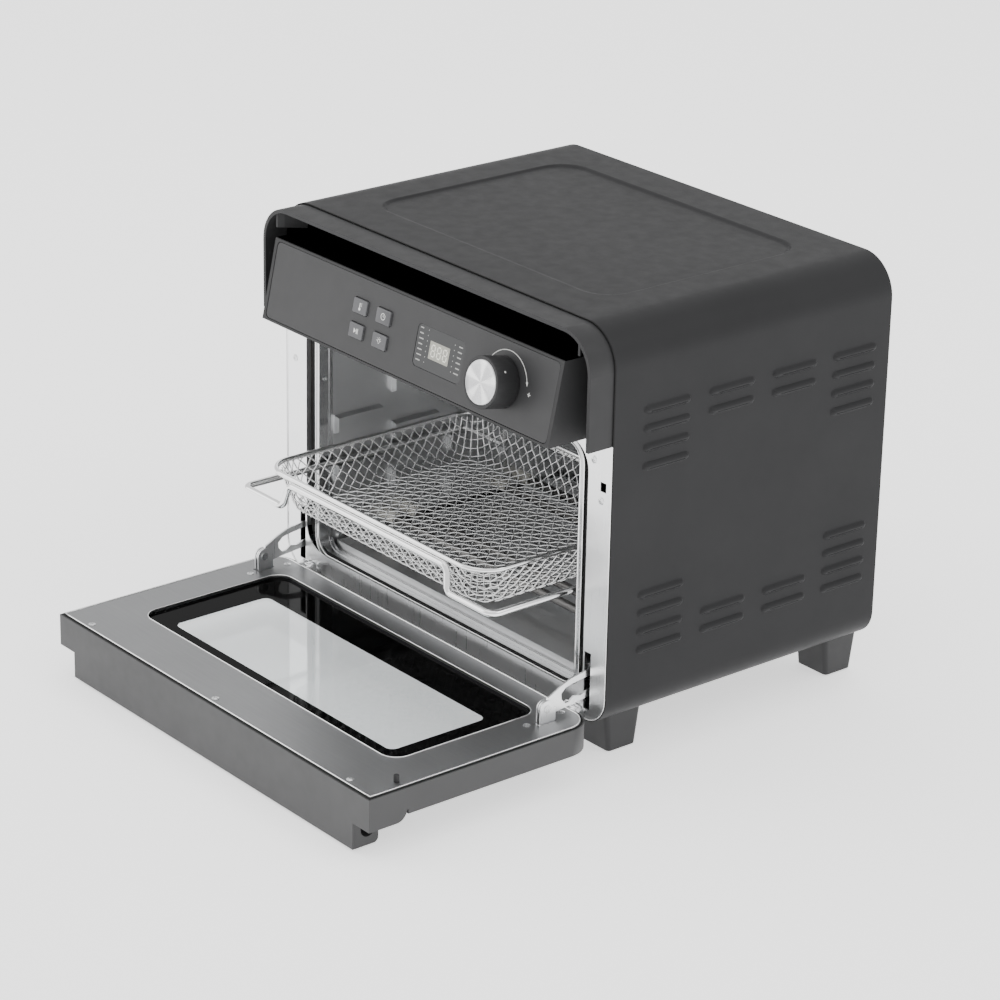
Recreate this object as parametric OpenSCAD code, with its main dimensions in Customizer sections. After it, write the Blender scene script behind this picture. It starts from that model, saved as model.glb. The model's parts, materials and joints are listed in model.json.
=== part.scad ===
// Countertop air-fryer toaster oven with a drop-down glass door and a wire basket.
// The working frame has y = 0 on the face of the front plate; place() then moves
// everything so that the origin is under the middle of the whole object.

/* [Body] */
// Width over the outer wrap
body_w = 380; // [370:1:392]
// Height of the wrap's top above the table
body_h = 336; // [330:1:345]
// Depth of the wrap behind the front plate
body_d = 262; // [258:1:275]
// Height of the wrap's underside above the table
body_z = 38; // [36:1:40]
// Radius of the wrap's top corners
top_r = 30; // [26:1:34]
// Radius of the wrap's bottom corners
bottom_r = 22; // [18:1:24]
// Thickness of the pressed steel sheet
sheet = 1; // [0.8:0.1:1.2]
// Depth that the rear cover stands behind the wrap
rear_bulge = 10; // [8:1:14]

/* [Front] */
// Half width of the opening in the front plate
strip_in = 164.5; // [162:0.5:166]
// Height of the front plate's sill
sill_z = 58; // [57.5:0.5:58.5]
// Depth of the hood in front of the front plate
hood_d = 22; // [22:1:26]
// Height of the hood's lower ends
hood_z = 252; // [250:1:254]
// Backward lean of the control panel
lean = 12; // [8:1:15]
// Half width of the control panel
panel_w = 166.8; // [160:0.2:170]
// Height of the control panel's face along its slope
panel_h = 62; // [58:1:64]
// How far the control panel's lower edge stands out
panel_out = 39; // [36:1:42]

/* [Cavity] */
// Half width inside the cavity
cav_w = 152; // [151.5:0.5:153]
// Height of the cavity's floor
cav_z = 58; // [57.5:0.5:59]
// Height of the cavity's roof
cav_top = 240; // [236:1:242]
// Depth from the front plate to the cavity's rear wall
cav_d = 248; // [244:1:250]

/* [Door] */
// Width of the door
door_w = 382; // [376:1:386]
// Reach of the open door in front of the front plate
door_reach = 208.5; // [206:0.5:209]
// Height of the open door's inner face
door_z = 48; // [47.5:0.5:48.5]
// Thickness of the door over its window
door_t = 21; // [20:0.5:22]
// Thickness of the door's front band
band_t = 25.5; // [25:0.5:27]
// Half length of the handle bar
handle_w = 172.5; // [150:0.5:180]
// Depth of the handle below the open door's inner face
handle_h = 45.7; // [44:0.1:46]

/* [Basket] */
// Half width of the basket over its rim
basket_w = 130.5; // [126:0.5:134]
// Height of the rim's middle
rim_z = 152.5; // [151:0.5:154]
// Height of the basket's floor
tub_z = 120; // [118:0.5:122]
// Length of the basket over its rim
basket_l = 205; // [190:1:210]
// How far the basket's rim stands out of the front plate
basket_out = 67; // [60:1:68]
// Half width of the support frame over its side arms
frame_w = 150; // [149:0.1:150.3]

/* [Hidden] */
$fn = 48;
half_w = body_w / 2;
front_y = -(body_d + rear_bulge - door_reach) / 2;
steel = "#c9cbcc";
black = "#3f4041";
grey = "#5f6062";
chrome = "#d8dadc";

// Door pivot, placed so that the closed door lies 1.2 mm in front of the plate
// and 1.5 mm under the hood.
door_gap = 1.2;
lid_gap = 1.5;
pivot_z = (hood_z - lid_gap - door_reach + door_z + door_gap) / 2;
pivot_y = -door_gap - door_z + pivot_z;
door_rear = 8;
door_corner = 22;
pivot_x = 158;
pivot_r = 1.7;
run_gap = 0.05;

// Hinge arms: each is riveted between the two lugs of a bracket on the door
// and passes through a slot in the front plate.
arm_x = 169.4;
arm_t = 1.5;
rivet_y = -38;
rivet_z = 58.7;
rivet_r = 2;
slot_w = 6.8;
slot_z0 = 47;
slot_z1 = 91;

// Control panel layout, in the plane of the panel
key_w = 16;
key_h = 10.9;
key_x = [-55.4, -27.8];
key_y = [21.1, 39.3];
key_gap = 0.5;
key_proud = 1.5;
key_travel = 0.9;
window_w = 53.5;
window_h = 31.3;
window_x = 37.3;
knob_x = 108.6;
panel_mid = 30.5;
knob_r = 18.5;
knob_top = 20;
cap_r = 16;
shaft_r = 3;
fascia_t = 1.9;
fascia_z = -2.2;
board_z = -11;

// Fan on the cavity roof
fan_x = 0;
fan_y = 132;
fan_r = 68;
guard_z = cav_top - 6;

// Rack guides pressed into the cavity's side walls
guide_pitch = 39;
guide_h = 15.4;
guide_l = 43;
guide_in = 6;
wing_z = 130.5;
rim_r = 2;
wire_r = 2.6;

// Feet
foot_x = 146;
foot_size = [31, 26];
foot_top = [34, 35];
foot_y = [42, body_d - 4];
foot_screw_y = [42, body_d - 14];
pad_h = 1.5;

// ---- helpers ----

// Moves the working frame into the part's own frame
module place() {
    translate([0, front_y, 0]) children();
}

// Extrudes an x-z outline from y0 to y1
module along_y(y0, y1) {
    translate([0, y1, 0]) rotate([90, 0, 0]) linear_extrude(y1 - y0) children();
}

// Extrudes a y-z outline from x0 to x1
module along_x(x0, x1) {
    translate([x0, 0, 0]) rotate([90, 0, 90]) linear_extrude(x1 - x0) children();
}

// Rounded rectangle between two corners
module rounded(x0, y0, x1, y1, r) {
    translate([x0 + r, y0]) square([x1 - x0 - 2 * r, y1 - y0]);
    translate([x0, y0 + r]) square([x1 - x0, y1 - y0 - 2 * r]);
    for (x = [x0 + r, x1 - r], y = [y0 + r, y1 - r]) translate([x, y]) circle(r);
}

// Body outline, symmetrical about x = 0, with its own top and bottom corner radii
module arch(w, z0, z1, rb, rt) {
    mid = (z0 + z1) / 2;
    translate([-w, z0 + rb]) square([2 * w, mid - z0 - rb]);
    translate([-w + rb, z0]) square([2 * (w - rb), mid - z0]);
    translate([-w, mid]) square([2 * w, z1 - rt - mid]);
    translate([-w + rt, mid]) square([2 * (w - rt), z1 - mid]);
    for (s = [-1, 1]) {
        translate([s * (w - rb), z0 + rb]) circle(rb);
        translate([s * (w - rt), z1 - rt]) circle(rt);
    }
}

// Body outline set in by a distance
module body_outline(inset) {
    arch(half_w - inset, body_z + inset, body_h - inset, bottom_r - inset, top_r - inset);
}

// Puts children in the plane of the control panel: x across, y up its face, z outward
module on_panel() {
    translate([0, -panel_out, hood_z + 0.6]) rotate([90 - lean, 0, 0]) children();
}

// Cylinder along x, centred on x
module rod_x(r, l) {
    rotate([0, 90, 0]) cylinder(r = r, h = l, center = true);
}

// Cylinder along y from the origin
module rod_y(r, l) {
    rotate([-90, 0, 0]) cylinder(r = r, h = l);
}

// Round wire between two points
module wire(a, b, r) {
    d = b - a;
    len = norm(d);
    turn = atan2(d[1], d[0]);
    tip = acos(d[2] / len);
    translate(a) rotate([0, tip, turn]) cylinder(r = r, h = len);
}

// Quarter bend of wire in the x-y plane, about the origin, from a1 over 90 degrees
module bend(big, r, a1) {
    rotate([0, 0, a1]) rotate_extrude(angle = 90) translate([big, 0]) circle(r);
}

// Closed wire loop in the x-y plane with rounded corners
module wire_loop(x0, y0, x1, y1, corner, r) {
    corners = [[x1 - corner, y1 - corner, 0], [x0 + corner, y1 - corner, 90],
               [x0 + corner, y0 + corner, 180], [x1 - corner, y0 + corner, 270]];
    for (c = corners) translate([c[0], c[1], 0]) bend(corner, r, c[2]);
    for (y = [y0, y1]) translate([(x0 + x1) / 2, y, 0]) rod_x(r, x1 - x0 - 2 * corner);
    for (x = [x0, x1]) translate([x, y0 + corner, 0]) rod_y(r, y1 - y0 - 2 * corner);
}

// Domed screw head whose axis is z
module screw_head(r, h) {
    difference() {
        intersection() {
            cylinder(r = r, h = h);
            translate([0, 0, h - 3 * r]) sphere(3 * r, $fn = 96);
        }
        for (a = [0, 90]) rotate([0, 0, a]) translate([-r * 0.6, -0.3, h - 0.5]) cube([1.2 * r, 0.6, 1]);
    }
}

// ---- casing ----

// Louvre columns: distance back, number of rows and whether it belongs to the upper band
louvre_y = [48, 108, 168, 227];
louvre_rows = [4, 2, 2, 4];
louvre_pitch = 14;
louvre_high = body_h - 63;
louvre_low = body_z + 54.5;
louvre_l = 41;
louvre_h = 5;

module louvre_cuts() {
    for (s = [-1, 1], k = [0:3], i = [0:louvre_rows[k] - 1], top = [0, 1]) {
        z = top ? louvre_high - i * louvre_pitch : louvre_low + i * louvre_pitch;
        translate([s * half_w, louvre_y[k], z]) rotate([0, 90, 0])
            linear_extrude(6, center = true) rounded(-louvre_h / 2, -louvre_l / 2,
                louvre_h / 2, louvre_l / 2, louvre_h / 2 - 0.01);
    }
}

pan_w = 133;
pan_y0 = 37;
pan_y1 = 226;
pan_r = 24;
pan_drop = 1.5;
lip_x = 130;

module outer_wrap() {
    color(black) place() {
        difference() {
            along_y(0, body_d) difference() {
                body_outline(0);
                body_outline(sheet);
            }
            translate([-lip_x, -1, body_z - 1]) cube([2 * lip_x, body_d + 2, sheet + 2]);
            louvre_cuts();
            translate([0, 0, body_h - sheet - 2]) linear_extrude(5)
                rounded(-pan_w, pan_y0, pan_w, pan_y1, pan_r);
        }
        difference() {
            translate([0, 0, body_h - pan_drop - sheet]) linear_extrude(pan_drop + sheet)
                rounded(-pan_w - sheet, pan_y0 - sheet, pan_w + sheet, pan_y1 + sheet, pan_r + sheet);
            translate([0, 0, body_h - pan_drop]) linear_extrude(5)
                rounded(-pan_w, pan_y0, pan_w, pan_y1, pan_r);
        }
    }
}

module bottom_plate() {
    color(black) place() difference() {
        translate([-half_w + bottom_r, 2, body_z + sheet]) cube([body_w - 2 * bottom_r, body_d - 10.3, 1.2]);
        for (x = [-90:20:90], y = [70, 190]) translate([x, y, body_z]) linear_extrude(4)
            rounded(-3, -25, 3, 25, 2.9);
        for (x = [-foot_x, foot_x], y = foot_screw_y) translate([x, y, body_z]) cylinder(r = 2.2, h = 5);
    }
}

inlet_x = 120;
inlet_z = 90;
inlet_r = 9;
cord_r = 3.6;

module rear_cover() {
    color(black) place() difference() {
        union() {
            along_y(body_d - 8, body_d) difference() {
                body_outline(sheet + 0.2);
                body_outline(sheet + 1.2);
            }
            along_y(body_d - 1, body_d) body_outline(sheet + 0.2);
            along_y(body_d - 1, body_d + rear_bulge) rounded(-140, 70, 140, 296, 16);
        }
        along_y(body_d - 2, body_d + rear_bulge - 1.2) rounded(-138.8, 71.2, 138.8, 294.8, 14.8);
        for (x = [-98:14:98], z = [120, 240]) translate([x, body_d + 20, z]) rotate([90, 0, 0])
            linear_extrude(30) rounded(-2.5, -20, 2.5, 20, 2.4);
        translate([inlet_x, body_d - 3, inlet_z]) rod_y(inlet_r, rear_bulge + 5);
    }
}

module cord_grommet() {
    color(black) place() translate([inlet_x, body_d + rear_bulge, inlet_z]) rotate([90, 0, 0]) difference() {
        union() {
            cylinder(r = inlet_r - 0.05, h = 6);
            translate([0, 0, 1.2]) cylinder(r = 12, h = 3);
        }
        translate([0, 0, -1]) cylinder(r = cord_r, h = 9);
    }
}

module foot(x, y) {
    color(black) place() translate([x, y, 0]) hull() {
        translate([0, 0, pad_h]) linear_extrude(0.1)
            rounded(-foot_size[0] / 2, -foot_size[1] / 2, foot_size[0] / 2, foot_size[1] / 2, 3, $fn = 24);
        translate([0, 0, body_z - 0.1]) linear_extrude(0.1)
            rounded(-foot_top[0] / 2, -foot_top[1] / 2, foot_top[0] / 2, foot_top[1] / 2, 4, $fn = 24);
    }
}

module foot_front_left() foot(-foot_x, foot_y[0]);
module foot_front_right() foot(foot_x, foot_y[0]);
module foot_rear_left() foot(-foot_x, foot_y[1]);
module foot_rear_right() foot(foot_x, foot_y[1]);

module foot_pads() {
    color("#2c2c2c") place() for (x = [-foot_x, foot_x], y = foot_y)
        translate([x, y, 0]) cylinder(r = 9, h = pad_h);
}

// ---- front ----

plate_top = 246;
open_r = 20;
return_d = 9;
plate_screws = [[169.9, 237], [178.7, 209]];
switch_x = 180.5;
switch_hole_z = 219.5;
pin_y = pivot_y - (switch_hole_z - pivot_z);

module plate_opening(grow) {
    rounded(-strip_in - grow, sill_z - grow, strip_in + grow, plate_top + grow, open_r + grow);
}

module front_plate() {
    color(steel) place() {
        difference() {
            along_y(0, sheet) body_outline(sheet + 0.2);
            along_y(-1, sheet + 1) plate_opening(0);
            for (s = [-1, 1]) {
                translate([s * arm_x - slot_w / 2, -1, slot_z0]) cube([slot_w, 3, slot_z1 - slot_z0]);
                for (p = plate_screws) translate([s * p[0], -1, p[1]]) rod_y(1.6, 3);
                translate([s * pivot_x - 4, -1, pivot_z - 4.5]) cube([8, 3, 7]);
            }
            translate([switch_x - 3, -1, switch_hole_z - 3.5]) cube([6, 3, 7]);
            translate([-120, -1, 266]) cube([240, 3, 34]);
        }
        difference() {
            along_y(sheet, return_d) plate_opening(sheet);
            along_y(0, return_d + 1) plate_opening(0);
            translate([-half_w, 0, body_z]) cube([body_w, 20, 42]);
        }
    }
}

hood_wall = 3;
hood_in = 1.1;

module hood_outline(inset) {
    intersection() {
        body_outline(inset);
        translate([-half_w, hood_z]) square([body_w, body_h]);
    }
}

module hood() {
    color(black) place() difference() {
        union() {
            along_y(-hood_d, -0.05) difference() {
                hood_outline(hood_in);
                body_outline(hood_in + hood_wall);
            }
            along_y(-2.6, -0.05) hood_outline(hood_in);
            for (s = [-1, 1]) hull() for (p = [[174, -20, 10.5], [160, -3, 15]])
                translate([s * p[0] - 1, p[1], 318]) cube([2, 1, p[2]]);
        }
        translate([-120, -4, 266]) cube([240, 6, 34]);
        for (s = [-1, 1]) translate([s * 178, -4, 275]) rod_y(1.6, 6);
    }
}

// Side section of the control panel housing, set in by a distance
module housing_section(inset) {
    rise = panel_h * cos(lean);
    polygon([[-panel_out + inset, hood_z + 0.6 + inset],
             [-panel_out + panel_h * sin(lean) + inset, hood_z + 0.6 + rise - inset],
             [-2.8, hood_z + 0.6 + rise - inset], [-2.8, hood_z + 0.6 + inset]]);
}

module panel_housing() {
    color(grey) place() difference() {
        along_x(-panel_w, panel_w) housing_section(0);
        intersection() {
            along_x(-panel_w + 2.2, panel_w - 2.2) translate([0.1, 0]) housing_section(2.2);
            on_panel() translate([-200, -20, -60]) cube([400, 100, 55.6]);
        }
        on_panel() translate([0, 0, fascia_z - 0.05]) linear_extrude(10)
            rounded(-panel_w + 3.2, 1.8, panel_w - 3.2, panel_h - 1.8, 4);
        on_panel() translate([0, 0, -12]) linear_extrude(20)
            rounded(-146, 8, 146, panel_h - 8, 4);
    }
}

module fascia() {
    color(grey) place() on_panel() {
        for (x = board_x, y = board_y) translate([x, y, board_z + 1.6])
            cylinder(r = 2.6, h = fascia_z - board_z - 1.6);
        fascia_sheet();
    }
}

module fascia_sheet() {
    translate([0, 0, fascia_z]) linear_extrude(fascia_t) difference() {
        rounded(-panel_w + 3.6, 2.2, panel_w - 3.6, panel_h - 2.2, 4);
        for (x = key_x, y = key_y) rounded(x - key_w / 2 - key_gap, y - key_h / 2 - key_gap,
            x + key_w / 2 + key_gap, y + key_h / 2 + key_gap, 1.6);
        rounded(window_x - window_w / 2, panel_mid - window_h / 2, window_x + window_w / 2,
            panel_mid + window_h / 2, 4);
        translate([knob_x, panel_mid]) circle(4.3);
    }
}

board_x = [-76, 128];
board_y = [12, 49];

module display_window() {
    color("#50545a") place() on_panel() translate([0, 0, fascia_z + 0.2]) linear_extrude(1.4)
        rounded(window_x - window_w / 2 + 0.1, panel_mid - window_h / 2 + 0.1,
            window_x + window_w / 2 - 0.1, panel_mid + window_h / 2 - 0.1, 3.9);
}

module display_module() {
    color("#e8e6da") place() on_panel() {
        translate([window_x - 12, panel_mid - 8, board_z + 1.65]) cube([24, 16, 7.1]);
        for (s = [-1, 1]) translate([window_x + s * 20 - 4, panel_mid - 13, board_z + 1.65])
            cube([8, 26, 7.1]);
    }
}

module control_board() {
    color("#2f6b3f") place() on_panel() difference() {
        union() {
            translate([-81, 8.5, board_z]) cube([214, 44, 1.6]);
            for (x = key_x, y = key_y) translate([x - 3, y - 3, board_z + 1.6]) cube([6, 6, 1.4]);
            translate([-20, 12, board_z - 9]) cube([30, 8, 9]);
        }
        for (x = board_x, y = board_y) translate([x, y, board_z - 1]) cylinder(r = 1.6, h = 4);
    }
}

module encoder() {
    color("#8f9092") place() on_panel() translate([knob_x, panel_mid, 0]) difference() {
        union() {
            translate([-6.5, -6.5, board_z + 1.65]) cube([13, 13, 6]);
            translate([0, 0, board_z + 7.6]) cylinder(r = 4, h = 3.1);
        }
        translate([0, 0, board_z + 3]) cylinder(r = shaft_r + run_gap, h = 12);
    }
}

module knob_body() {
    color("#2b2b2c") place() on_panel() translate([knob_x, panel_mid, 0]) difference() {
        union() {
            translate([0, 0, 0.5]) cylinder(r = knob_r, h = knob_top - 0.5);
            translate([0, 0, board_z + 3.5]) cylinder(r = shaft_r, h = 12);
        }
        translate([0, 0, 0.4]) difference() {
            cylinder(r = knob_r - 1.8, h = 14);
            translate([0, 0, -1]) cylinder(r = 5.5, h = 16);
        }
        translate([0, 0, knob_top - 0.8]) cylinder(r = cap_r + 0.1, h = 2);
    }
}

module knob_cap() {
    color(chrome) place() on_panel() translate([knob_x, panel_mid, knob_top - 0.75])
        cylinder(r = cap_r, h = 0.9);
}

module button(x, y) {
    color("#6b6c6e") place() on_panel() translate([x, y, 0]) {
        translate([0, 0, -3]) linear_extrude(3 + key_proud - 0.3)
            rounded(-key_w / 2, -key_h / 2, key_w / 2, key_h / 2, 1.3);
        translate([0, 0, -3.5]) linear_extrude(1.2)
            rounded(-key_w / 2 - 1.2, -key_h / 2 - 1.2, key_w / 2 + 1.2, key_h / 2 + 1.2, 1.3);
        translate([0, 0, -7]) cylinder(r = 2.2, h = 4);
    }
}

module button_temperature() button(key_x[0], key_y[1]);
module button_time() button(key_x[1], key_y[1]);
module button_start() button(key_x[0], key_y[0]);
module button_lamp() button(key_x[1], key_y[0]);

// ---- cavity ----

ring_y = 3;
ring_d = 14;
cav_r = 12;
bead = 0.7;

module cavity_outline(grow) {
    rounded(-cav_w - grow, cav_z - grow, cav_w + grow, cav_top + grow, cav_r + grow);
}

module cavity_ring() {
    color("#a9abad") place() {
        difference() {
            union() {
                along_y(ring_y, ring_y + 1) cavity_outline(5);
                along_y(ring_y, ring_d + 1) cavity_outline(sheet);
                along_y(ring_d, ring_d + 1) cavity_outline(8);
            }
            along_y(ring_y - 1, ring_d - 2) cavity_outline(0);
            along_y(ring_d - 3, ring_d + 2) cavity_outline(-bead);
        }
        for (s = [-1, 1]) translate([s * 100 - 15, ring_d, body_z + sheet + 1.2])
            cube([30, sheet, cav_z - body_z - sheet - 4]);
    }
}

// Row heights of the guides in a column, starting from its lowest one
guide_low = [81, 103.1];
guide_y = [17, 72, 127, 182];

module side_wall(s) {
    x_in = s * cav_w;
    color("#8a8c8e") place() difference() {
        union() {
            translate([min(x_in, x_in + s * sheet), ring_d + 1, cav_z])
                cube([sheet, cav_d - ring_d - 1, cav_top - cav_z]);
            for (k = [0:3], i = [0:2]) {
                z = guide_low[k % 2] + i * guide_pitch;
                translate([x_in, guide_y[k], z]) rotate([-90, 0, 0]) linear_extrude(guide_l)
                    polygon([[s * 0.2, guide_h / 2], [-s * guide_in, guide_h / 2 - 3],
                             [-s * guide_in, -guide_h / 2 + 1], [s * 0.2, -guide_h / 2]]);
            }
            translate([x_in - s * 0.6, 22, 66]) rod_x(2.6, 2.4);
        }
        if (s > 0) translate([x_in - 5, lamp_y, lamp_z]) rotate([0, 90, 0]) cylinder(r = lamp_r, h = 12);
        if (s < 0) translate([x_in - 5, probe_y, probe_z]) rotate([0, 90, 0]) cylinder(r = 3, h = 12);
    }
}

lamp_y = 149;
lamp_z = 222;
lamp_r = 14;
probe_y = 204;
probe_z = 224;

module cavity_left_wall() side_wall(-1);
module cavity_right_wall() side_wall(1);

module cavity_floor() {
    color("#8a8c8e") place() translate([-cav_w - 8, ring_d + 1, cav_z - 1.6])
        cube([2 * cav_w + 16, cav_d - ring_d - 1, 1.5]);
}

module cavity_roof() {
    color("#8a8c8e") place() difference() {
        union() {
            translate([-cav_w - 8, ring_d + 1, cav_top + 0.1])
                cube([2 * cav_w + 16, cav_d - ring_d - 1, 1.5]);
            translate([fan_x, fan_y, cav_top + 1]) cylinder(r = fan_r + 8, h = 24);
        }
        translate([fan_x, fan_y, cav_top - 1]) cylinder(r = fan_r + 6.5, h = 24.5);
        translate([fan_x, fan_y, cav_top]) cylinder(r = 6, h = 40);
    }
}

module cavity_rear_wall() {
    color("#8a8c8e") place() difference() {
        translate([-cav_w - 8, cav_d + 0.1, cav_z - 1.6])
            cube([2 * cav_w + 16, sheet, cav_top - cav_z + 3.2]);
        for (x = [-60:15:60], z = [190:12:226]) translate([x, cav_d - 1, z]) rod_y(3, 4);
    }
}

module crumb_tray() {
    color("#a5a7a9") place() difference() {
        translate([-cav_w + 4, ring_d + 3, cav_z + 0.1]) cube([2 * cav_w - 8, cav_d - ring_d - 8, 7]);
        translate([-cav_w + 4.8, ring_d + 3.8, cav_z + 0.9])
            cube([2 * cav_w - 9.6, cav_d - ring_d - 9.6, 10]);
    }
}

heater_r = 3.3;
heater_z = 75;
heater_y = [65, 86, 176, 200];

module lower_heaters() {
    color("#606264") place() for (y = heater_y) translate([0, y, heater_z]) rod_x(heater_r, 2 * cav_w - 24);
}

module heater_insulators() {
    color("#e9e6dc") place() for (s = [-1, 1], y = heater_y) difference() {
        translate([s * (cav_w - 8.6), y, heater_z]) rod_x(4.6, 17);
        translate([s * (cav_w - 14), y, heater_z]) rod_x(heater_r + 0.02, 16.2);
    }
}

module upper_heater() {
    color("#606264") place() translate([fan_x, fan_y, guard_z + 2.62]) {
        rotate_extrude() translate([fan_r - 12, 0]) circle(3);
        rotate_extrude() translate([fan_r - 28, 0]) circle(3);
    }
}

// Guard rings hang from the roof on four posts and carry the upper heater
module fan_guard() {
    color("#b4b6b8") place() translate([fan_x, fan_y, guard_z - 2]) {
        for (r = [20, 36, 52, fan_r + 8]) rotate_extrude() translate([r, 0]) square([2.4, 1.6]);
        for (a = [0:45:315]) rotate([0, 0, a + 22.5]) translate([5, -1.2, 0]) cube([fan_r + 4, 2.4, 1.6]);
        cylinder(r = 8, h = 1.6);
        for (a = [0:90:270]) rotate([0, 0, a + 22.5]) translate([fan_r + 9.2, 0, 0])
            cylinder(r = 1.2, h = 8.1);
    }
}

motor_z = cav_top + 36;

module fan_motor() {
    color("#77797b") place() translate([fan_x, fan_y, 0]) difference() {
        union() {
            translate([-32, -27, motor_z]) cube([64, 54, 20]);
            translate([0, 0, motor_z - 4]) cylinder(r = 11, h = 28);
            for (s = [-1, 1]) {
                translate([s * 36 - 4, -10, cav_top + 25]) cube([8, 20, 11.5]);
                translate([s * 36 - 8, -10, motor_z]) cube([16, 20, 2]);
            }
        }
        translate([0, 0, motor_z - 10]) cylinder(r = shaft_r + run_gap, h = 50);
    }
}

// Heating fan under the roof, cooling fan above the motor, and their shaft
module convection_fan() {
    color("#b9bbbd") place() translate([fan_x, fan_y, 0]) {
        translate([0, 0, guard_z + 8]) cylinder(r = shaft_r, h = motor_z + 38 - guard_z - 8);
        translate([0, 0, cav_top + 6]) cylinder(r = fan_r - 4, h = 1.2);
        translate([0, 0, cav_top + 2]) cylinder(r = 9, h = 6);
        for (a = [0:30:330]) rotate([0, 0, a]) translate([fan_r - 34, -0.6, cav_top + 7]) cube([28, 1.2, 12]);
        translate([0, 0, motor_z + 28]) cylinder(r = 26, h = 1.2);
        translate([0, 0, motor_z + 26]) cylinder(r = 8, h = 6);
        for (a = [0:45:315]) rotate([0, 0, a]) translate([10, -0.6, motor_z + 29]) cube([15, 1.2, 7]);
    }
}

module lamp_housing() {
    color("#b4b6b8") place() translate([cav_w + sheet, lamp_y, lamp_z]) rotate([0, 90, 0]) difference() {
        cylinder(r = lamp_r + 4, h = 22);
        translate([0, 0, -1]) cylinder(r = lamp_r, h = 21.5);
    }
}

module lamp_bulb() {
    color("#fff2c8") place() translate([cav_w + 4.5, lamp_y, lamp_z]) rotate([0, 90, 0]) {
        translate([0, 0, 3]) cylinder(r = 5, h = 9);
        translate([0, 0, 3]) sphere(5);
        translate([0, 0, 12]) cylinder(r = 6, h = 4.5);
    }
}

module lamp_lens() {
    color([0.9, 0.95, 1, 0.5]) place() translate([cav_w - 1.2, lamp_y, lamp_z]) rotate([0, 90, 0]) difference() {
        cylinder(r = lamp_r - 0.1, h = 3.5);
        translate([0, 0, 1.5]) cylinder(r = lamp_r - 1.6, h = 4);
    }
}

module temperature_probe() {
    color(chrome) place() translate([-cav_w - 10, probe_y, probe_z]) rotate([0, 90, 0]) {
        cylinder(r = 2.5, h = 28);
        translate([0, 0, 1]) cylinder(r = 5.5, h = 7.9);
    }
}

module thermal_cutout() {
    color("#cfcabd") place() translate([90, 205, cav_top + 1.7]) {
        cylinder(r = 9, h = 6);
        translate([-14, -4, 0]) cube([28, 8, 1.5]);
        for (s = [-1, 1]) translate([s * 5 - 0.8, -2, 6]) cube([1.6, 4, 8]);
    }
}

module power_board() {
    color("#7a5a35") place() translate([-150, 30, cav_top + 10]) {
        cube([60, 90, 1.6]);
        for (x = [3, 57], y = [3, 87]) translate([x, y, -8.3]) cylinder(r = 2, h = 8.4);
        for (y = [12, 40]) translate([8, y, 1.6]) cube([19, 15, 15]);
        translate([34, 14, 1.6]) cube([20, 30, 24]);
        translate([10, 66, 1.6]) cube([40, 14, 11]);
    }
}

module door_switch() {
    color("#2b2b2c") place() translate([switch_x, 2.5, switch_hole_z]) {
        translate([-3.2, 4, -10]) cube([6.4, 16, 20]);
        translate([-1.2, 2.5, -1.5]) cube([2.4, 2, 3]);
        translate([3.2, -1.5, -10]) cube([1.2, 21.5, 20]);
        for (z = [-6, 4]) translate([-0.4, 19.9, z]) cube([0.8, 6, 2]);
    }
}

// ---- hinge hardware on the body ----

// Pins stand on folded tabs that reach forward through the front plate
module hinge_pins() {
    color(steel) place() for (s = [-1, 1]) {
        translate([s * pivot_x, pivot_y, pivot_z]) rod_x(pivot_r, 14);
        translate([s * pivot_x - 1, pivot_y - 1, pivot_z - 2]) cube([2, sheet + 1.5 - pivot_y, 4]);
        translate([s * pivot_x - 4, sheet, pivot_z - 5]) cube([8, 1.5, 11.5]);
        for (e = [-1, 1]) translate([s * pivot_x + e * 6 - 2, sheet, pivot_z - 5]) cube([4, 1.5, 11.5]);
    }
}

spring_z = 60;
spring_x = 176.5;

module hinge_springs() {
    color("#9a9c9e") place() for (s = [-1, 1]) {
        for (i = [0:7]) translate([s * spring_x, 84 + i * 5, spring_z]) rotate([90, 0, 0])
            rotate_extrude() translate([4.4, 0]) circle(1.1, $fn = 16);
        translate([s * spring_x, 83, spring_z + 4.4]) rod_y(1.2, 52);
        translate([s * spring_x - 3, 130, spring_z + 3.4]) cube([6, 3, 8]);
        translate([s * (spring_x - 8) - 11, 130, cav_z - 0.1]) cube([22, 3, 9]);
        translate([s * spring_x - 3, 130, cav_z + 6]) cube([6, 3, 6]);
    }
}

module body_screws() {
    color(chrome) place() {
        for (s = [-1, 1], p = plate_screws) translate([s * p[0], 0, p[1]]) rotate([90, 0, 0])
            screw_head(2.8, 0.7);
        for (s = [-1, 1]) translate([s * cav_w, 8, 198]) rotate([0, -s * 90, 0]) screw_head(2, 0.8);
        for (s = [-1, 1], z = [90, 200, 290]) translate([s * 168, body_d, z]) rotate([-90, 0, 0])
            screw_head(3.2, 1.6);
        for (x = [-foot_x, foot_x], y = foot_screw_y) translate([x, y, body_z + sheet + 1.2])
            screw_head(4, 1.8);
    }
}

// ---- door ----

win_x = 154;
win_y0 = -160.5;
win_y1 = -31;
win_r = 13;
band_y = -176;
band_r = 9;
shell_wall = 2.4;
front_wall = 2.2;

// Plan of the door with its rounded hinge-side corners
module door_plan(inset) {
    w = door_w / 2 - inset;
    rear = -door_rear - inset;
    r = door_corner - inset;
    translate([-w, -door_reach + inset]) square([2 * w, door_reach - inset + rear - r]);
    translate([-w + r, rear - r - 1]) square([2 * (w - r), r + 1]);
    for (s = [-1, 1]) translate([s * (w - r), rear - r]) circle(r);
}

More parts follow.
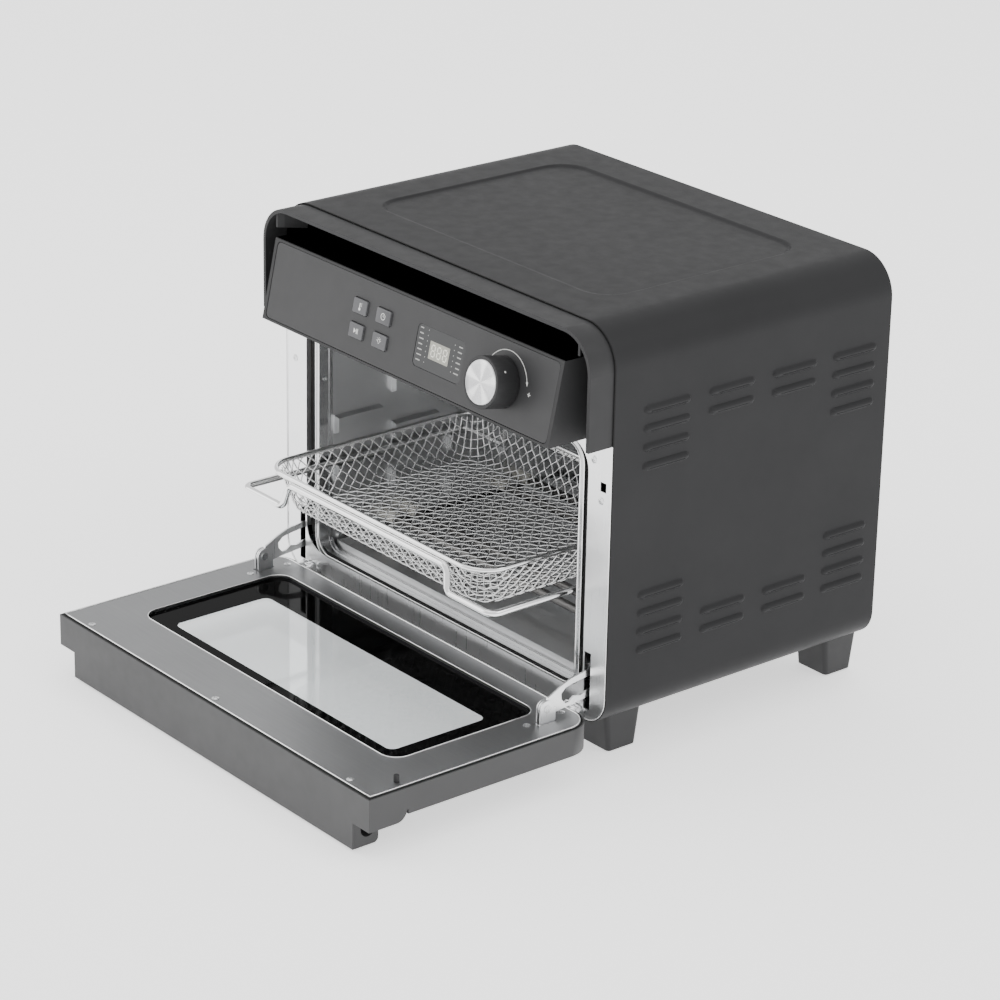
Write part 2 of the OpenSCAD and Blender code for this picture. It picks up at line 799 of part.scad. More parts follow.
module door_shell() {
    z_low = door_z - door_t;
    color(grey) place() translate([-handle_w, -door_reach, door_z - handle_h])
        cube([2 * handle_w, front_wall, handle_h - band_t + 1]);
    color(grey) place() difference() {
        intersection() {
            translate([0, 0, door_z - band_t]) linear_extrude(band_t - 0.9) door_plan(0);
            along_x(-door_w, door_w) difference() {
                translate([-door_reach, door_z - band_t]) square([door_reach, band_t]);
                translate([band_y, door_z - band_t - 1]) square([door_reach, band_t - door_t + 1]);
                difference() {
                    translate([band_y - band_r, door_z - band_t - 1]) square([band_r + 1, band_r]);
                    translate([band_y - band_r, door_z - band_t + band_r]) circle(band_r);
                }
            }
        }
        translate([0, 0, z_low + shell_wall]) linear_extrude(door_t) door_plan(shell_wall);
        translate([0, 0, z_low - 1]) linear_extrude(10)
            rounded(-win_x, win_y0 + 2.5, win_x, win_y1 - 9, 6);
        for (s = [-1, 1]) translate([s * pivot_x - 8.5, -door_rear - 4, z_low - 5]) cube([17, 12, 30]);
    }
}

module door_outer_glass() {
    color([0.7, 0.72, 0.74, 0.5]) place() translate([0, 0, door_z - door_t + shell_wall]) linear_extrude(3)
        rounded(-win_x - 4.5, win_y0 - 1.5, win_x + 4.5, win_y1 - 5, 6);
}

module door_inner_glass() {
    color([0.75, 0.77, 0.79, 0.5]) place() translate([0, 0, door_z - 5.4]) linear_extrude(3)
        rounded(-win_x - 5, win_y0 - 5, win_x + 5, win_y1 + 5, 6);
}

module door_inner_panel() {
    color("#96989a") place() difference() {
        union() {
            difference() {
                translate([0, 0, door_z - 4.4]) linear_extrude(4.4) door_plan(2.6);
                translate([0, 0, door_z - 6]) linear_extrude(5.2) door_plan(3.4);
            }
            translate([0, 0, door_z - 2.4]) linear_extrude(2)
                rounded(-win_x - 0.8, win_y0 - 0.8, win_x + 0.8, win_y1 + 0.8, win_r + 0.8);
        }
        translate([0, 0, door_z - 4]) linear_extrude(8) rounded(-win_x, win_y0, win_x, win_y1, win_r);
        for (s = [-1, 1]) {
            translate([s * arm_x - 3.2, rivet_y - 7.5, door_z - 2]) cube([6.4, 16, 4]);
            if (s > 0) translate([switch_x, pin_y, door_z - 2]) cylinder(r = 2.1, h = 4);
            for (p = door_screw_at) translate([s * p[0], p[1], door_z - 2]) cylinder(r = 1.5, h = 4);
            translate([s * pivot_x - 8, -door_rear - 4.5, door_z - 6]) cube([16, 4, 5.2]);
        }
    }
}

door_screw_at = [[159.2, -200.5], [0, -200.5], [166.5, -52], [164.4, -18.8]];

module door_screws() {
    color(chrome) place() for (s = [-1, 1], p = door_screw_at)
        if (p[0] > 0 || s > 0) translate([s * p[0], p[1], door_z]) screw_head(2.7, 0.8);
}

module switch_pin() {
    color("#2b2b2c") place() translate([switch_x, pin_y, door_z - 6]) {
        cylinder(r = 2, h = 11.2);
        cylinder(r = 3.4, h = 5.1);
    }
}

// Each bracket has two lugs that hold the rivet and a knuckle round the pivot pin
lug_t = 1.2;
lug_gap = 0.5;
bracket_t = 1.5;
bracket_z = door_z - sheet - bracket_t + 0.2;

module hinge_brackets() {
    color(steel) place() for (s = [-1, 1]) {
        for (side = [-1, 1]) difference() {
            translate([s * arm_x + side * (arm_t / 2 + lug_gap + lug_t / 2) - lug_t / 2, 0, 0])
                rotate([90, 0, 90]) linear_extrude(lug_t) union() {
                    translate([rivet_y, rivet_z]) circle(6.2);
                    translate([rivet_y - 6.2, bracket_z]) square([14, rivet_z - bracket_z]);
                }
            translate([s * arm_x, rivet_y, rivet_z]) rod_x(rivet_r, 12);
        }
        translate([s * 171 - 10, rivet_y - 6.2, bracket_z]) cube([20, 27, bracket_t]);
        translate([s * 161.5 - 10.5, rivet_y + 12, bracket_z]) cube([21, -rivet_y - 24, bracket_t]);
        translate([s * pivot_x - 7, -door_rear - 4.5, bracket_z]) cube([14, 3.5, bracket_t]);
        difference() {
            for (e = [-1, 1]) {
                translate([s * pivot_x + e * 5, pivot_y, pivot_z]) rod_x(3, 3);
                translate([s * pivot_x + e * 5 - 1.5, -door_rear - 2, bracket_z])
                    cube([3, 2 + door_rear + pivot_y, bracket_t]);
            }
            translate([s * pivot_x, pivot_y, pivot_z]) rod_x(pivot_r + run_gap, 30);
        }
    }
}

module hinge_rivets() {
    grip = arm_t + 2 * lug_gap + 2 * lug_t;
    color(chrome) place() for (s = [-1, 1]) translate([s * arm_x, rivet_y, rivet_z]) {
        rod_x(rivet_r - 0.02, grip + 0.4);
        for (e = [-1, 1]) translate([e * (grip / 2 + 0.25), 0, 0]) rod_x(3, 0.5);
    }
}

// Forked arm: a tall plate at the rivet that splits into two prongs
module hinge_arm(s) {
    color(steel) place() translate([s * arm_x - arm_t / 2, 0, 0]) rotate([90, 0, 90]) difference() {
        union() {
            translate([rivet_y, rivet_z, 0]) cylinder(r = 6, h = arm_t);
            linear_extrude(arm_t) polygon([[-40, 60.5], [-36, 66], [-32, 67.8], [-24, 72], [-15, 75.4],
                [0, 77.8], [14, 78.6], [24, 77], [29, 71], [27, 63], [16, 60], [2, 57], [-4, 56.2],
                [-13, 55.2], [-22, 54.3], [-31, 53], [-36, 56]]);
        }
        translate([0, 0, -1]) linear_extrude(arm_t + 2) polygon([[-24, 66], [-20, 69.6], [-13, 71.2],
            [-2, 72.6], [14, 73.6], [20, 72], [21, 67], [14, 64.4], [0, 62.2], [-6.6, 59.8], [-12.6, 61],
            [-16.8, 57.8], [-20.2, 57.5], [-23.6, 61.5]]);
        translate([rivet_y, rivet_z, -1]) cylinder(r = rivet_r + run_gap, h = arm_t + 2);
        translate([25, 71, -1]) cylinder(r = 1.6, h = arm_t + 2);
    }
}

module hinge_arm_left() hinge_arm(-1);
module hinge_arm_right() hinge_arm(1);

// Handle section: a bar along the free edge with a finger channel behind it
module door_handle() {
    z0 = door_z - handle_h;
    top = door_z - band_t;
    front = -door_reach;
    color(grey) place() along_x(-handle_w, handle_w) difference() {
        union() {
            translate([front + front_wall, z0]) square([18 - front_wall, top - z0]);
            translate([front + 18, z0 + 4]) circle(4);
            translate([front + 17, z0 + 4]) square([5, 5]);
            translate([front + 20, z0 + 9]) circle(2);
        }
        translate([front + 13, z0 + 12.5]) circle(6);
        translate([front + 7, z0 + 12.5]) square([20, top - z0]);
    }
}

// ---- basket ----

tub_wall = 1.2;
tub_taper = 12;
rim_corner = 22;
basket_y0 = -basket_out;
basket_y1 = basket_y0 + basket_l;

module tub_level(inset, z, corner) {
    x = basket_w - rim_r - inset;
    translate([0, 0, z]) linear_extrude(0.5) rounded(-x, basket_y0 + rim_r + inset, x,
        basket_y1 - rim_r - inset, corner, $fn = 32);
}

module basket_mesh() {
    top = rim_z - rim_r;
    color(chrome) place() difference() {
        hull() {
            tub_level(0, top - 0.5, rim_corner);
            tub_level(tub_taper, tub_z, rim_corner - 4);
        }
        hull() {
            tub_level(tub_wall, top, rim_corner - tub_wall);
            tub_level(tub_taper + tub_wall, tub_z + tub_wall, rim_corner - 4 - tub_wall);
        }
    }
}

module basket_rim() {
    color(chrome) place() translate([0, 0, rim_z])
        wire_loop(-basket_w + rim_r, basket_y0 + rim_r, basket_w - rim_r, basket_y1 - rim_r, rim_corner, rim_r);
}

// Support frame: side arms that slide along the guides, with cross wires under the rim
arm_corner = 10;
lift_x = 98;
lift_in = 3;
weld = 0.08;

module basket_frame() {
    x = frame_w - wire_r;
    mid = (basket_y0 + basket_y1) / 2;
    half_l = basket_l / 2 + 6 - wire_r;
    side_l = half_l - arm_corner;
    cross_z = rim_z - 4.2;
    color(chrome) place() translate([0, mid, 0]) for (e = [0, 180]) rotate([0, 0, e]) {
        translate([x, -side_l, wing_z]) rod_y(wire_r, 2 * side_l);
        for (s = [-1, 1]) {
            translate([s * (x - arm_corner), -side_l, wing_z]) bend(arm_corner, wire_r, s > 0 ? 270 : 180);
            translate([s * (x - arm_corner + lift_x) / 2, -half_l, wing_z]) rod_x(wire_r, x - arm_corner - lift_x);
            wire([s * lift_x, -half_l, wing_z], [s * (lift_x - 4), -half_l + lift_in, cross_z], wire_r);
            translate([s * lift_x, -half_l, wing_z]) sphere(wire_r + weld);
            translate([s * (lift_x - 4), -half_l + lift_in, cross_z]) sphere(wire_r + weld);
        }
        translate([0, -half_l + lift_in, cross_z]) rod_x(wire_r, 2 * (lift_x - 4));
    }
}

outer_wrap();
bottom_plate();
rear_cover();
foot_front_left();
foot_front_right();
foot_rear_left();
foot_rear_right();
foot_pads();
front_plate();
hood();
panel_housing();
fascia();
display_window();
display_module();
control_board();
encoder();
cavity_ring();
cavity_left_wall();
cavity_right_wall();
cavity_floor();
cavity_roof();
cavity_rear_wall();
crumb_tray();
lower_heaters();
upper_heater();
heater_insulators();
fan_guard();
fan_motor();
lamp_housing();
lamp_bulb();
lamp_lens();
temperature_probe();
thermal_cutout();
power_board();
door_switch();
hinge_pins();
hinge_springs();
cord_grommet();
body_screws();
door_shell();
door_handle();
door_inner_panel();
door_outer_glass();
door_inner_glass();
door_screws();
switch_pin();
hinge_brackets();
hinge_rivets();
hinge_arm_left();
hinge_arm_right();
basket_mesh();
basket_rim();
basket_frame();
knob_body();
knob_cap();
button_temperature();
button_time();
button_start();
button_lamp();
convection_fan();
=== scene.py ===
import json
import math

import bmesh
import bpy
import numpy as np
from mathutils import Matrix, Vector


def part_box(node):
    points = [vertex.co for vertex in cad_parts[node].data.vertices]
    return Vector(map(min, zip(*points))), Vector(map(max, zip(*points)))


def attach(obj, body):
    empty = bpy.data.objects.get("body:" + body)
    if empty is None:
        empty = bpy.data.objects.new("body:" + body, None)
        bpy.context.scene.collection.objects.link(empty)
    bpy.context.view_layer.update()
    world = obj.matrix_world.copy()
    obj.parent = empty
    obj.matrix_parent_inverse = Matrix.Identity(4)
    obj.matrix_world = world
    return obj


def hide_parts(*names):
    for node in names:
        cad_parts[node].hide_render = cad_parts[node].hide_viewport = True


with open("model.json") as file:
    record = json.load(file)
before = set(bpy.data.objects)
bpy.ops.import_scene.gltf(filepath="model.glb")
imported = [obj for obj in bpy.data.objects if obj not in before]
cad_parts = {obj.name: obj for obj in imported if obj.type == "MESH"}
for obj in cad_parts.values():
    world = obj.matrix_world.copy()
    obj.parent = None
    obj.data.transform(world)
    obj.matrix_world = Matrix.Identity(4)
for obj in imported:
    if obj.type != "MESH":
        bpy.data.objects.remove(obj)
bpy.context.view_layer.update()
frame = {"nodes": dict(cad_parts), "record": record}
nodes = frame["nodes"]
scene = bpy.context.scene

# The working frame is the same as the frame's, but in millimetres and with
# y = 0 on the face of the front plate.
MM = 0.001
PLATE_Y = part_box("front_plate")[0].y
TAU = 2 * math.pi
BEVEL_ANGLE = 35.0
PATH_STEP = 6.0


def place(points):
    """Working-frame points in millimetres to row-frame points in metres."""
    p = np.array(points, float).reshape(-1, 3) * MM
    p[:, 1] += PLATE_Y
    return p


# ---------------------------------------------------------------- node trees


class Tree:
    """Small helper round a material's node tree."""

    def __init__(self, name):
        self.mat = bpy.data.materials.new(name)
        self.mat.use_nodes = True
        self.nt = self.mat.node_tree
        self.nt.nodes.clear()
        self.out = self.add("ShaderNodeOutputMaterial")
        self.coords = self.add("ShaderNodeTexCoord").outputs["Object"]

    def add(self, kind, **props):
        n = self.nt.nodes.new(kind)
        for k, v in props.items():
            setattr(n, k, v)
        return n

    def link(self, a, b):
        self.nt.links.new(a, b)

    def scaled(self, scale):
        m = self.add("ShaderNodeMapping")
        m.inputs["Scale"].default_value = scale if isinstance(scale, tuple) else (scale,) * 3
        self.link(self.coords, m.inputs["Vector"])
        return m.outputs["Vector"]

    def noise(self, scale, detail=3.0, rough=0.55):
        n = self.add("ShaderNodeTexNoise")
        n.inputs["Scale"].default_value = 1.0
        n.inputs["Detail"].default_value = detail
        n.inputs["Roughness"].default_value = rough
        self.link(self.scaled(scale), n.inputs["Vector"])
        return n.outputs["Fac"]

    def remap(self, value, low, high, lo_in=0.3, hi_in=0.7):
        n = self.add("ShaderNodeMapRange")
        n.inputs["From Min"].default_value = lo_in
        n.inputs["From Max"].default_value = hi_in
        n.inputs["To Min"].default_value = low
        n.inputs["To Max"].default_value = high
        self.link(value, n.inputs["Value"])
        return n.outputs["Result"]

    def ramp(self, value, dark, light, lo=0.3, hi=0.7):
        n = self.add("ShaderNodeValToRGB")
        n.color_ramp.elements[0].position = lo
        n.color_ramp.elements[1].position = hi
        n.color_ramp.elements[0].color = (*dark, 1)
        n.color_ramp.elements[1].color = (*light, 1)
        self.link(value, n.inputs["Fac"])
        return n.outputs["Color"]

    def bump(self, height, strength, distance):
        n = self.add("ShaderNodeBump")
        n.inputs["Strength"].default_value = strength
        n.inputs["Distance"].default_value = distance
        self.link(height, n.inputs["Height"])
        return n.outputs["Normal"]

    def shader(self, **sockets):
        n = self.add("ShaderNodeBsdfPrincipled")
        for k, v in sockets.items():
            n.inputs[k.replace("_", " ")].default_value = v
        self.link(n.outputs["BSDF"], self.out.inputs["Surface"])
        return n


def tint(base, factor):
    return tuple(min(1.0, c * factor) for c in base)


def moulded(name, base, rough, grain=2600.0, bump=0.12, spread=0.10, coat=0.0, gloss=0.35):
    """Moulded plastic, powder coat or rubber: fine grain with soft colour variation."""
    t = Tree(name)
    s = t.shader(Specular_IOR_Level=gloss)
    if coat:
        s.inputs["Coat Weight"].default_value = coat
        s.inputs["Coat Roughness"].default_value = 0.12
    cloud = t.noise(14.0, 4.0)
    t.link(t.ramp(cloud, tint(base, 1 - spread), tint(base, 1 + spread)), s.inputs["Base Color"])
    t.link(t.remap(t.noise(90.0, 3.0), rough - 0.04, rough + 0.04), s.inputs["Roughness"])
    t.link(t.bump(t.noise(grain, 2.0), bump, 0.0001), s.inputs["Normal"])
    return t.mat


def paint_recess_shade(mat, front, top):
    """Paint shade into a recess: faces behind a depth that look forwards or down, and up if top is
    0, are painted black and lose their gloss.
    """
    nt = mat.node_tree
    s = next(n for n in nt.nodes if n.type == "BSDF_PRINCIPLED")
    base = s.inputs["Base Color"].links[0].from_socket
    coords = nt.nodes.new("ShaderNodeTexCoord")
    normal = nt.nodes.new("ShaderNodeSeparateXYZ")
    position = nt.nodes.new("ShaderNodeSeparateXYZ")
    nt.links.new(coords.outputs["Normal"], normal.inputs[0])
    nt.links.new(coords.outputs["Object"], position.inputs[0])

    def maths(operation, a, b=0.0, clamp=False):
        n = nt.nodes.new("ShaderNodeMath")
        n.operation = operation
        n.use_clamp = clamp
        for socket, value in zip(n.inputs, (a, b)):
            if isinstance(value, float):
                socket.default_value = value
            else:
                nt.links.new(value, socket)
        return n.outputs[0]

    sides = maths("ABSOLUTE", normal.outputs["X"])
    upward = maths("MULTIPLY", maths("MAXIMUM", normal.outputs["Z"], 0.0), float(top))
    ahead = maths("LESS_THAN", position.outputs["Y"], PLATE_Y + front * MM)
    keep = maths("ADD", maths("ADD", sides, upward), ahead, clamp=True)
    mix = nt.nodes.new("ShaderNodeMix")
    mix.data_type = "RGBA"
    colours = [k for k in mix.inputs if k.type == "RGBA"]
    colours[0].default_value = (0.001, 0.001, 0.001, 1)
    nt.links.new(keep, mix.inputs[0])
    nt.links.new(base, colours[1])
    nt.links.new(next(k for k in mix.outputs if k.type == "RGBA"), s.inputs["Base Color"])
    nt.links.new(maths("MULTIPLY", keep, 0.2), s.inputs["Specular IOR Level"])


def metal(name, base, rough, streak, bump=0.08, spread=0.06):
    """Sheet or wire metal with fine streaks along one axis."""
    t = Tree(name)
    s = t.shader(Metallic=1.0)
    lines = t.noise(streak, 4.0, 0.65)
    cloud = t.noise(11.0, 3.0)
    t.link(t.ramp(cloud, tint(base, 1 - spread), tint(base, 1 + spread)), s.inputs["Base Color"])
    mix = t.add("ShaderNodeMath", operation="MULTIPLY_ADD")
    mix.inputs[1].default_value = 0.35
    t.link(cloud, mix.inputs[0])
    t.link(lines, mix.inputs[2])
    t.link(t.remap(mix.outputs[0], rough * 0.85, rough * 1.2, 0.45, 0.9), s.inputs["Roughness"])
    t.link(t.bump(lines, bump, 0.00004), s.inputs["Normal"])
    return t.mat


def glassy(name, base, rough=0.02, smear=0.03):
    """Clear glass with faint smears in its gloss."""
    t = Tree(name)
    s = t.shader(Base_Color=(*base, 1), IOR=1.5, Transmission_Weight=1.0)
    t.link(t.remap(t.noise(18.0, 4.0), rough, rough + smear), s.inputs["Roughness"])
    return t.mat


# ------------------------------------------------------------------- meshes


def mesh_piece(name, verts, faces, body, mat, smooth, replaces=()):
    """A mesh object from row-frame vertices that rides on a CAD body."""
    me = bpy.data.meshes.new(name)
    me.from_pydata([tuple(v) for v in verts], [], [tuple(f) for f in faces])
    me.validate()
    ob = bpy.data.objects.new(name, me)
    scene.collection.objects.link(ob)
    bm = bmesh.new()
    bm.from_mesh(me)
    bmesh.ops.remove_doubles(bm, verts=bm.verts, dist=1e-7)
    bmesh.ops.recalc_face_normals(bm, faces=bm.faces)
    bm.to_mesh(me)
    bm.free()
    for p in me.polygons:
        p.use_smooth = smooth > 0
    if smooth:
        me.set_sharp_from_angle(angle=math.radians(smooth))
    me.materials.append(mat)
    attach(ob, body)
    if replaces:
        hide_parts(*replaces)
    return ob


def solidify(ob, thickness):
    """Thicken an open sheet inwards."""
    m = ob.modifiers.new("thick", "SOLIDIFY")
    m.thickness = thickness
    m.offset = -1.0


def bevel(ob, width, segments):
    """Round the edges sharper than BEVEL_ANGLE, with a width in millimetres."""
    m = ob.modifiers.new("round", "BEVEL")
    m.width = width * MM
    m.segments = segments
    m.limit_method = "ANGLE"
    m.angle_limit = math.radians(BEVEL_ANGLE)
    m.use_clamp_overlap = True
    m.harden_normals = True


def tubes(paths, radius, sides, closed=False):
    """Vertices and faces of round tubes along working-frame polylines."""
    verts, faces = [], []
    for path in paths:
        p = np.array(path, float)
        n = len(p)
        if closed:
            tan = np.roll(p, -1, 0) - np.roll(p, 1, 0)
        else:
            tan = np.gradient(p, axis=0)
        tan /= np.linalg.norm(tan, axis=1)[:, None]
        up = np.array([0.0, 0.0, 1.0])
        if abs(tan[0] @ up) > 0.9:
            up = np.array([1.0, 0.0, 0.0])
        ref = np.cross(tan[0], up)
        ref /= np.linalg.norm(ref)
        frames = []
        for i in range(n):
            ref = ref - tan[i] * (ref @ tan[i])
            ref /= np.linalg.norm(ref)
            frames.append((ref, np.cross(tan[i], ref)))
        twist = 0.0
        if closed:
            a, b = frames[-1]
            a = a - tan[0] * (a @ tan[0])
            a /= np.linalg.norm(a)
            twist = math.atan2(a @ frames[0][1], a @ frames[0][0])
        base = len(verts)
        for i in range(n):
            a, b = frames[i]
            for j in range(sides):
                w = TAU * j / sides - twist * (i / n if closed else 0.0)
                verts.append(p[i] + radius * (math.cos(w) * a + math.sin(w) * b))
        loops = n if closed else n - 1
        for i in range(loops):
            i2 = (i + 1) % n
            for j in range(sides):
                j2 = (j + 1) % sides
                faces.append((base + i * sides + j, base + i * sides + j2,
                              base + i2 * sides + j2, base + i2 * sides + j))
        if not closed:
            faces.append(tuple(base + j for j in range(sides))[::-1])
            faces.append(tuple(base + (n - 1) * sides + j for j in range(sides)))
    return verts, faces


def filleted(points, radius, steps):
    """A closed polyline whose corners are replaced with arcs of the given radius."""
    pts = [np.array(q, float) for q in points]
    out = []
    n = len(pts)
    for i in range(n):
        p, a, b = pts[i], pts[i - 1], pts[(i + 1) % n]
        u = (a - p) / np.linalg.norm(a - p)
        v = (b - p) / np.linalg.norm(b - p)
        half = 0.5 * math.acos(max(-1, min(1, float(u @ v))))
        shorter = min(np.linalg.norm(a - p), np.linalg.norm(b - p))
        cut = min(radius / math.tan(half), 0.49 * shorter)
        r = cut * math.tan(half)
        bis = (u + v) / np.linalg.norm(u + v)
        centre = p + bis * (r / math.sin(half))
        s, e = p + u * cut, p + v * cut
        for k in range(steps + 1):
            ang = (math.pi - 2 * half) * k / steps
            x = (s - centre) / r
            y = (e - centre) / r
            y = y - x * float(x @ y)
            y /= np.linalg.norm(y)
            out.append(centre + r * (math.cos(ang) * x + math.sin(ang) * y))
    return out


def plate_on(origin, right, up, outline, depth):
    """A thin prism: a 2D outline in a plane, standing out of it by depth."""
    o, r, u = (np.array(v, float) for v in (origin, right, up))
    n = np.cross(r, u)
    pts = [o + r * x + u * y for x, y in outline]
    m = len(pts)
    verts = pts + [q + n * depth for q in pts]
    faces = [tuple(range(m))[::-1], tuple(range(m, 2 * m))]
    faces += [(i, (i + 1) % m, m + (i + 1) % m, m + i) for i in range(m)]
    return verts, faces


def join_parts(parts):
    """Several vertex and face lists as one."""
    verts, faces = [], []
    for v, f in parts:
        base = len(verts)
        verts += list(v)
        faces += [tuple(base + i for i in face) for face in f]
    return verts, faces


def round_rect(x0, y0, x1, y1, r, steps=6):
    """Outline of a rectangle with round corners."""
    out = []
    for cx, cy, a in ((x1 - r, y1 - r, 0), (x0 + r, y1 - r, 90),
                      (x0 + r, y0 + r, 180), (x1 - r, y0 + r, 270)):
        for k in range(steps + 1):
            w = math.radians(a + 90 * k / steps)
            out.append((cx + r * math.cos(w), cy + r * math.sin(w)))
    return out


def grown(rect, by):
    """A round rectangle's values grown outwards by a distance."""
    x0, y0, x1, y1, r = rect
    return (x0 - by, y0 - by, x1 + by, y1 + by, max(0.5, r + by))


def stepped(outline, closed=True):
    """An outline cut into short steps, so that a tube along it bends evenly."""
    path = []
    for a, b in zip(outline, outline[1:] + (outline[:1] if closed else [])):
        n = max(1, int(math.dist(a, b) / PATH_STEP))
        path += [(a[0] + (b[0] - a[0]) * k / n, a[1] + (b[1] - a[1]) * k / n) for k in range(n)]
    return path if closed else path + [outline[-1]]


def plan_path(outline, z):
    """A closed plan outline as a path at one height."""
    return [(x, y, z) for x, y in stepped(outline)]


def front_path(outline, y, closed=True):
    """A front-view outline as a path at one depth."""
    return [(x, y, z) for x, z in stepped(outline, closed)]


def frame_faces(m):
    """Faces of a flat frame: outer and inner rings of m points at one level, then at the next."""
    faces = []
    for i in range(m):
        j = (i + 1) % m
        faces += [(2 * m + i, 2 * m + j, 3 * m + j, 3 * m + i), (i, m + i, m + j, j),
                  (i, j, 2 * m + j, 2 * m + i), (m + i, 3 * m + i, 3 * m + j, m + j)]
    return faces


# ---------------------------------------------------------------- materials

CASING = (0.028, 0.028, 0.029)
PANEL = (0.034, 0.034, 0.035)
SHELL = (0.046, 0.046, 0.047)

mats = {
    "casing_black": moulded("powder_coat", CASING, 0.42, grain=3800.0, bump=0.10,
                            spread=0.06, gloss=0.07),
    "plastic_black": moulded("black_plastic", (0.022, 0.022, 0.023), 0.48, grain=2400.0),
    "plastic_grey": moulded("panel_plastic", PANEL, 0.45, grain=3000.0, bump=0.10, spread=0.05),
    "rubber_black": moulded("pad_rubber", (0.02, 0.02, 0.02), 0.75, grain=1500.0, bump=0.3),
    "key_grey": moulded("key_plastic", (0.10, 0.10, 0.105), 0.40, grain=3200.0, bump=0.06),
    "stainless": metal("stainless", (0.90, 0.905, 0.91), 0.30, (900.0, 900.0, 30.0), 0.02),
    "cavity_steel": metal("cavity_sheet", (0.74, 0.745, 0.75), 0.36, (500.0, 60.0, 500.0), 0.05),
    "panel_steel": metal("door_sheet", (0.29, 0.293, 0.298), 0.36, (30.0, 700.0, 700.0), 0.06),
    "bright_wire": metal("basket_wire", (0.97, 0.97, 0.965), 0.14, (260.0, 260.0, 260.0), 0.05),
    "bright_metal": metal("plated_steel", (0.72, 0.725, 0.73), 0.24, (700.0, 700.0, 700.0)),
    "spun_aluminium": metal("spun_aluminium", (0.90, 0.90, 0.905), 0.28, (300.0, 300.0, 300.0)),
    "heater_sheath": metal("heater_sheath", (0.20, 0.195, 0.19), 0.42, (60.0, 700.0, 700.0)),
    "ceramic_white": moulded("ceramic", (0.78, 0.76, 0.70), 0.55, grain=900.0, bump=0.2),
    "motor_steel": metal("motor_sheet", (0.5, 0.5, 0.51), 0.35, (500.0, 500.0, 60.0)),
    "door_glass": glassy("door_glass", (0.93, 0.95, 0.955)),
    "clear_glass": glassy("lamp_glass", (0.95, 0.95, 0.94), 0.04),
    "display_tint": moulded("display_window_tint", (0.030, 0.031, 0.032), 0.20, grain=400.0,
                            bump=0.02, spread=0.04, coat=0.15),
    "display_white": moulded("diffuser", (0.8, 0.79, 0.72), 0.5, grain=900.0),
    "board_green": moulded("solder_mask", (0.03, 0.14, 0.06), 0.35, grain=700.0, bump=0.2),
    "board_brown": moulded("bare_board", (0.18, 0.10, 0.04), 0.5, grain=700.0, bump=0.2),
}
PRINT = moulded("marking_print", (0.72, 0.72, 0.70), 0.5, grain=1200.0, bump=0.05)
# Bright metal for folds and beads; on the darker door sheet and mouth ring it is a lighter copy of
# their metal, a painted highlight along their edges
BRIGHT_EDGE_METAL = metal("bright_edge_metal", (0.95, 0.95, 0.95), 0.12, (300.0, 300.0, 300.0), 0.02)
FRIT = moulded("glass_border", (0.0015, 0.0015, 0.0016), 0.06, grain=60.0, bump=0.01,
               gloss=0.03)
# Black for painted shade: thin pieces in it stand in for the shadow in gaps and grooves
GAP_SHADE = moulded("inner_shadow_paint", (0.006, 0.006, 0.006), 0.7)

DOOR_SKIN = moulded("door_plastic", SHELL, 0.45, grain=3000.0, bump=0.10, spread=0.05)
HOOD_SHADE_SKIN = moulded("hood_plastic_painted_shade", (0.030, 0.030, 0.031), 0.5, grain=2600.0, bump=0.12,
                    spread=0.06, gloss=0.2)
RING_SKIN = metal("mouth_ring", (0.50, 0.505, 0.51), 0.22, (300.0, 300.0, 300.0), 0.03)
PANEL_SHADE_SKIN = moulded("panel_plastic_painted_shade", PANEL, 0.5, grain=2600.0, gloss=0.2)

# Painted shade: behind these depths the gap between the hood and the panel is painted black
paint_recess_shade(PANEL_SHADE_SKIN, -25.0, 0)
paint_recess_shade(HOOD_SHADE_SKIN, -16.0, 1)

slot_of = {s["node"]: s["material_slot"] for s in frame["record"]["subparts"]}
OWN_SKIN = {"door_shell": DOOR_SKIN, "door_handle": DOOR_SKIN, "hood": HOOD_SHADE_SKIN,
            "panel_housing": PANEL_SHADE_SKIN, "cavity_ring": RING_SKIN}
for name, ob in nodes.items():
    for ms in ob.material_slots:
        ms.material = OWN_SKIN.get(name, mats[slot_of[name]])

# Rounding of the carried-over CAD nodes in millimetres, made with modifiers only
ROUNDED = {
    "hood": 1.1, "panel_housing": 0.8, "fascia": 0.3, "rear_cover": 0.3,
    "foot_front_left": 0.8, "foot_front_right": 0.8, "foot_rear_left": 0.8, "foot_rear_right": 0.8,
    "door_shell": 0.3, "door_handle": 0.12, "door_inner_panel": 0.3, "hinge_arm_left": 0.25,
    "hinge_arm_right": 0.25, "hinge_brackets": 0.2, "knob_body": 0.8,
    "button_temperature": 0.5, "button_time": 0.5, "button_start": 0.5, "button_lamp": 0.5,
    "display_window": 0.2, "foot_pads": 0.3, "switch_pin": 0.4,
}
for name, width in ROUNDED.items():
    ob = nodes[name]
    weld = ob.modifiers.new("weld", "WELD")
    weld.merge_threshold = 1e-6
    flat = ob.modifiers.new("flat", "DECIMATE")
    flat.decimate_type = "DISSOLVE"
    flat.angle_limit = math.radians(0.6)
    bevel(ob, width, segments=3 if width >= 0.8 else 2)


# --------------------------------------------------------------- outer wrap

WRAP_W, WRAP_Z0, WRAP_Z1, WRAP_D = 190.0, 38.0, 336.0, 262.0
TOP_R, BOTTOM_R, SHEET = 30.0, 22.0, 1.0
LIP_X = 130.0
# Sunk panel of the top: half width, front, rear, corner radius, drop
PAN = (133.0, 37.0, 226.0, 24.0, 1.5)
LOUVRE_Y = (48.0, 108.0, 168.0, 227.0)
LOUVRE_ROWS = (4, 2, 2, 4)
LOUVRE_PITCH, LOUVRE_L, LOUVRE_H, LOUVRE_OUT = 14.0, 42.0, 6.2, 2.4
LOUVRE_LOW, LOUVRE_HIGH = WRAP_Z0 + 54.5, WRAP_Z1 - 63
# Kinds of grid line: round corners and floor lips, flat sides, flat top
BEND, SIDE, TOP = 0, 1, 2


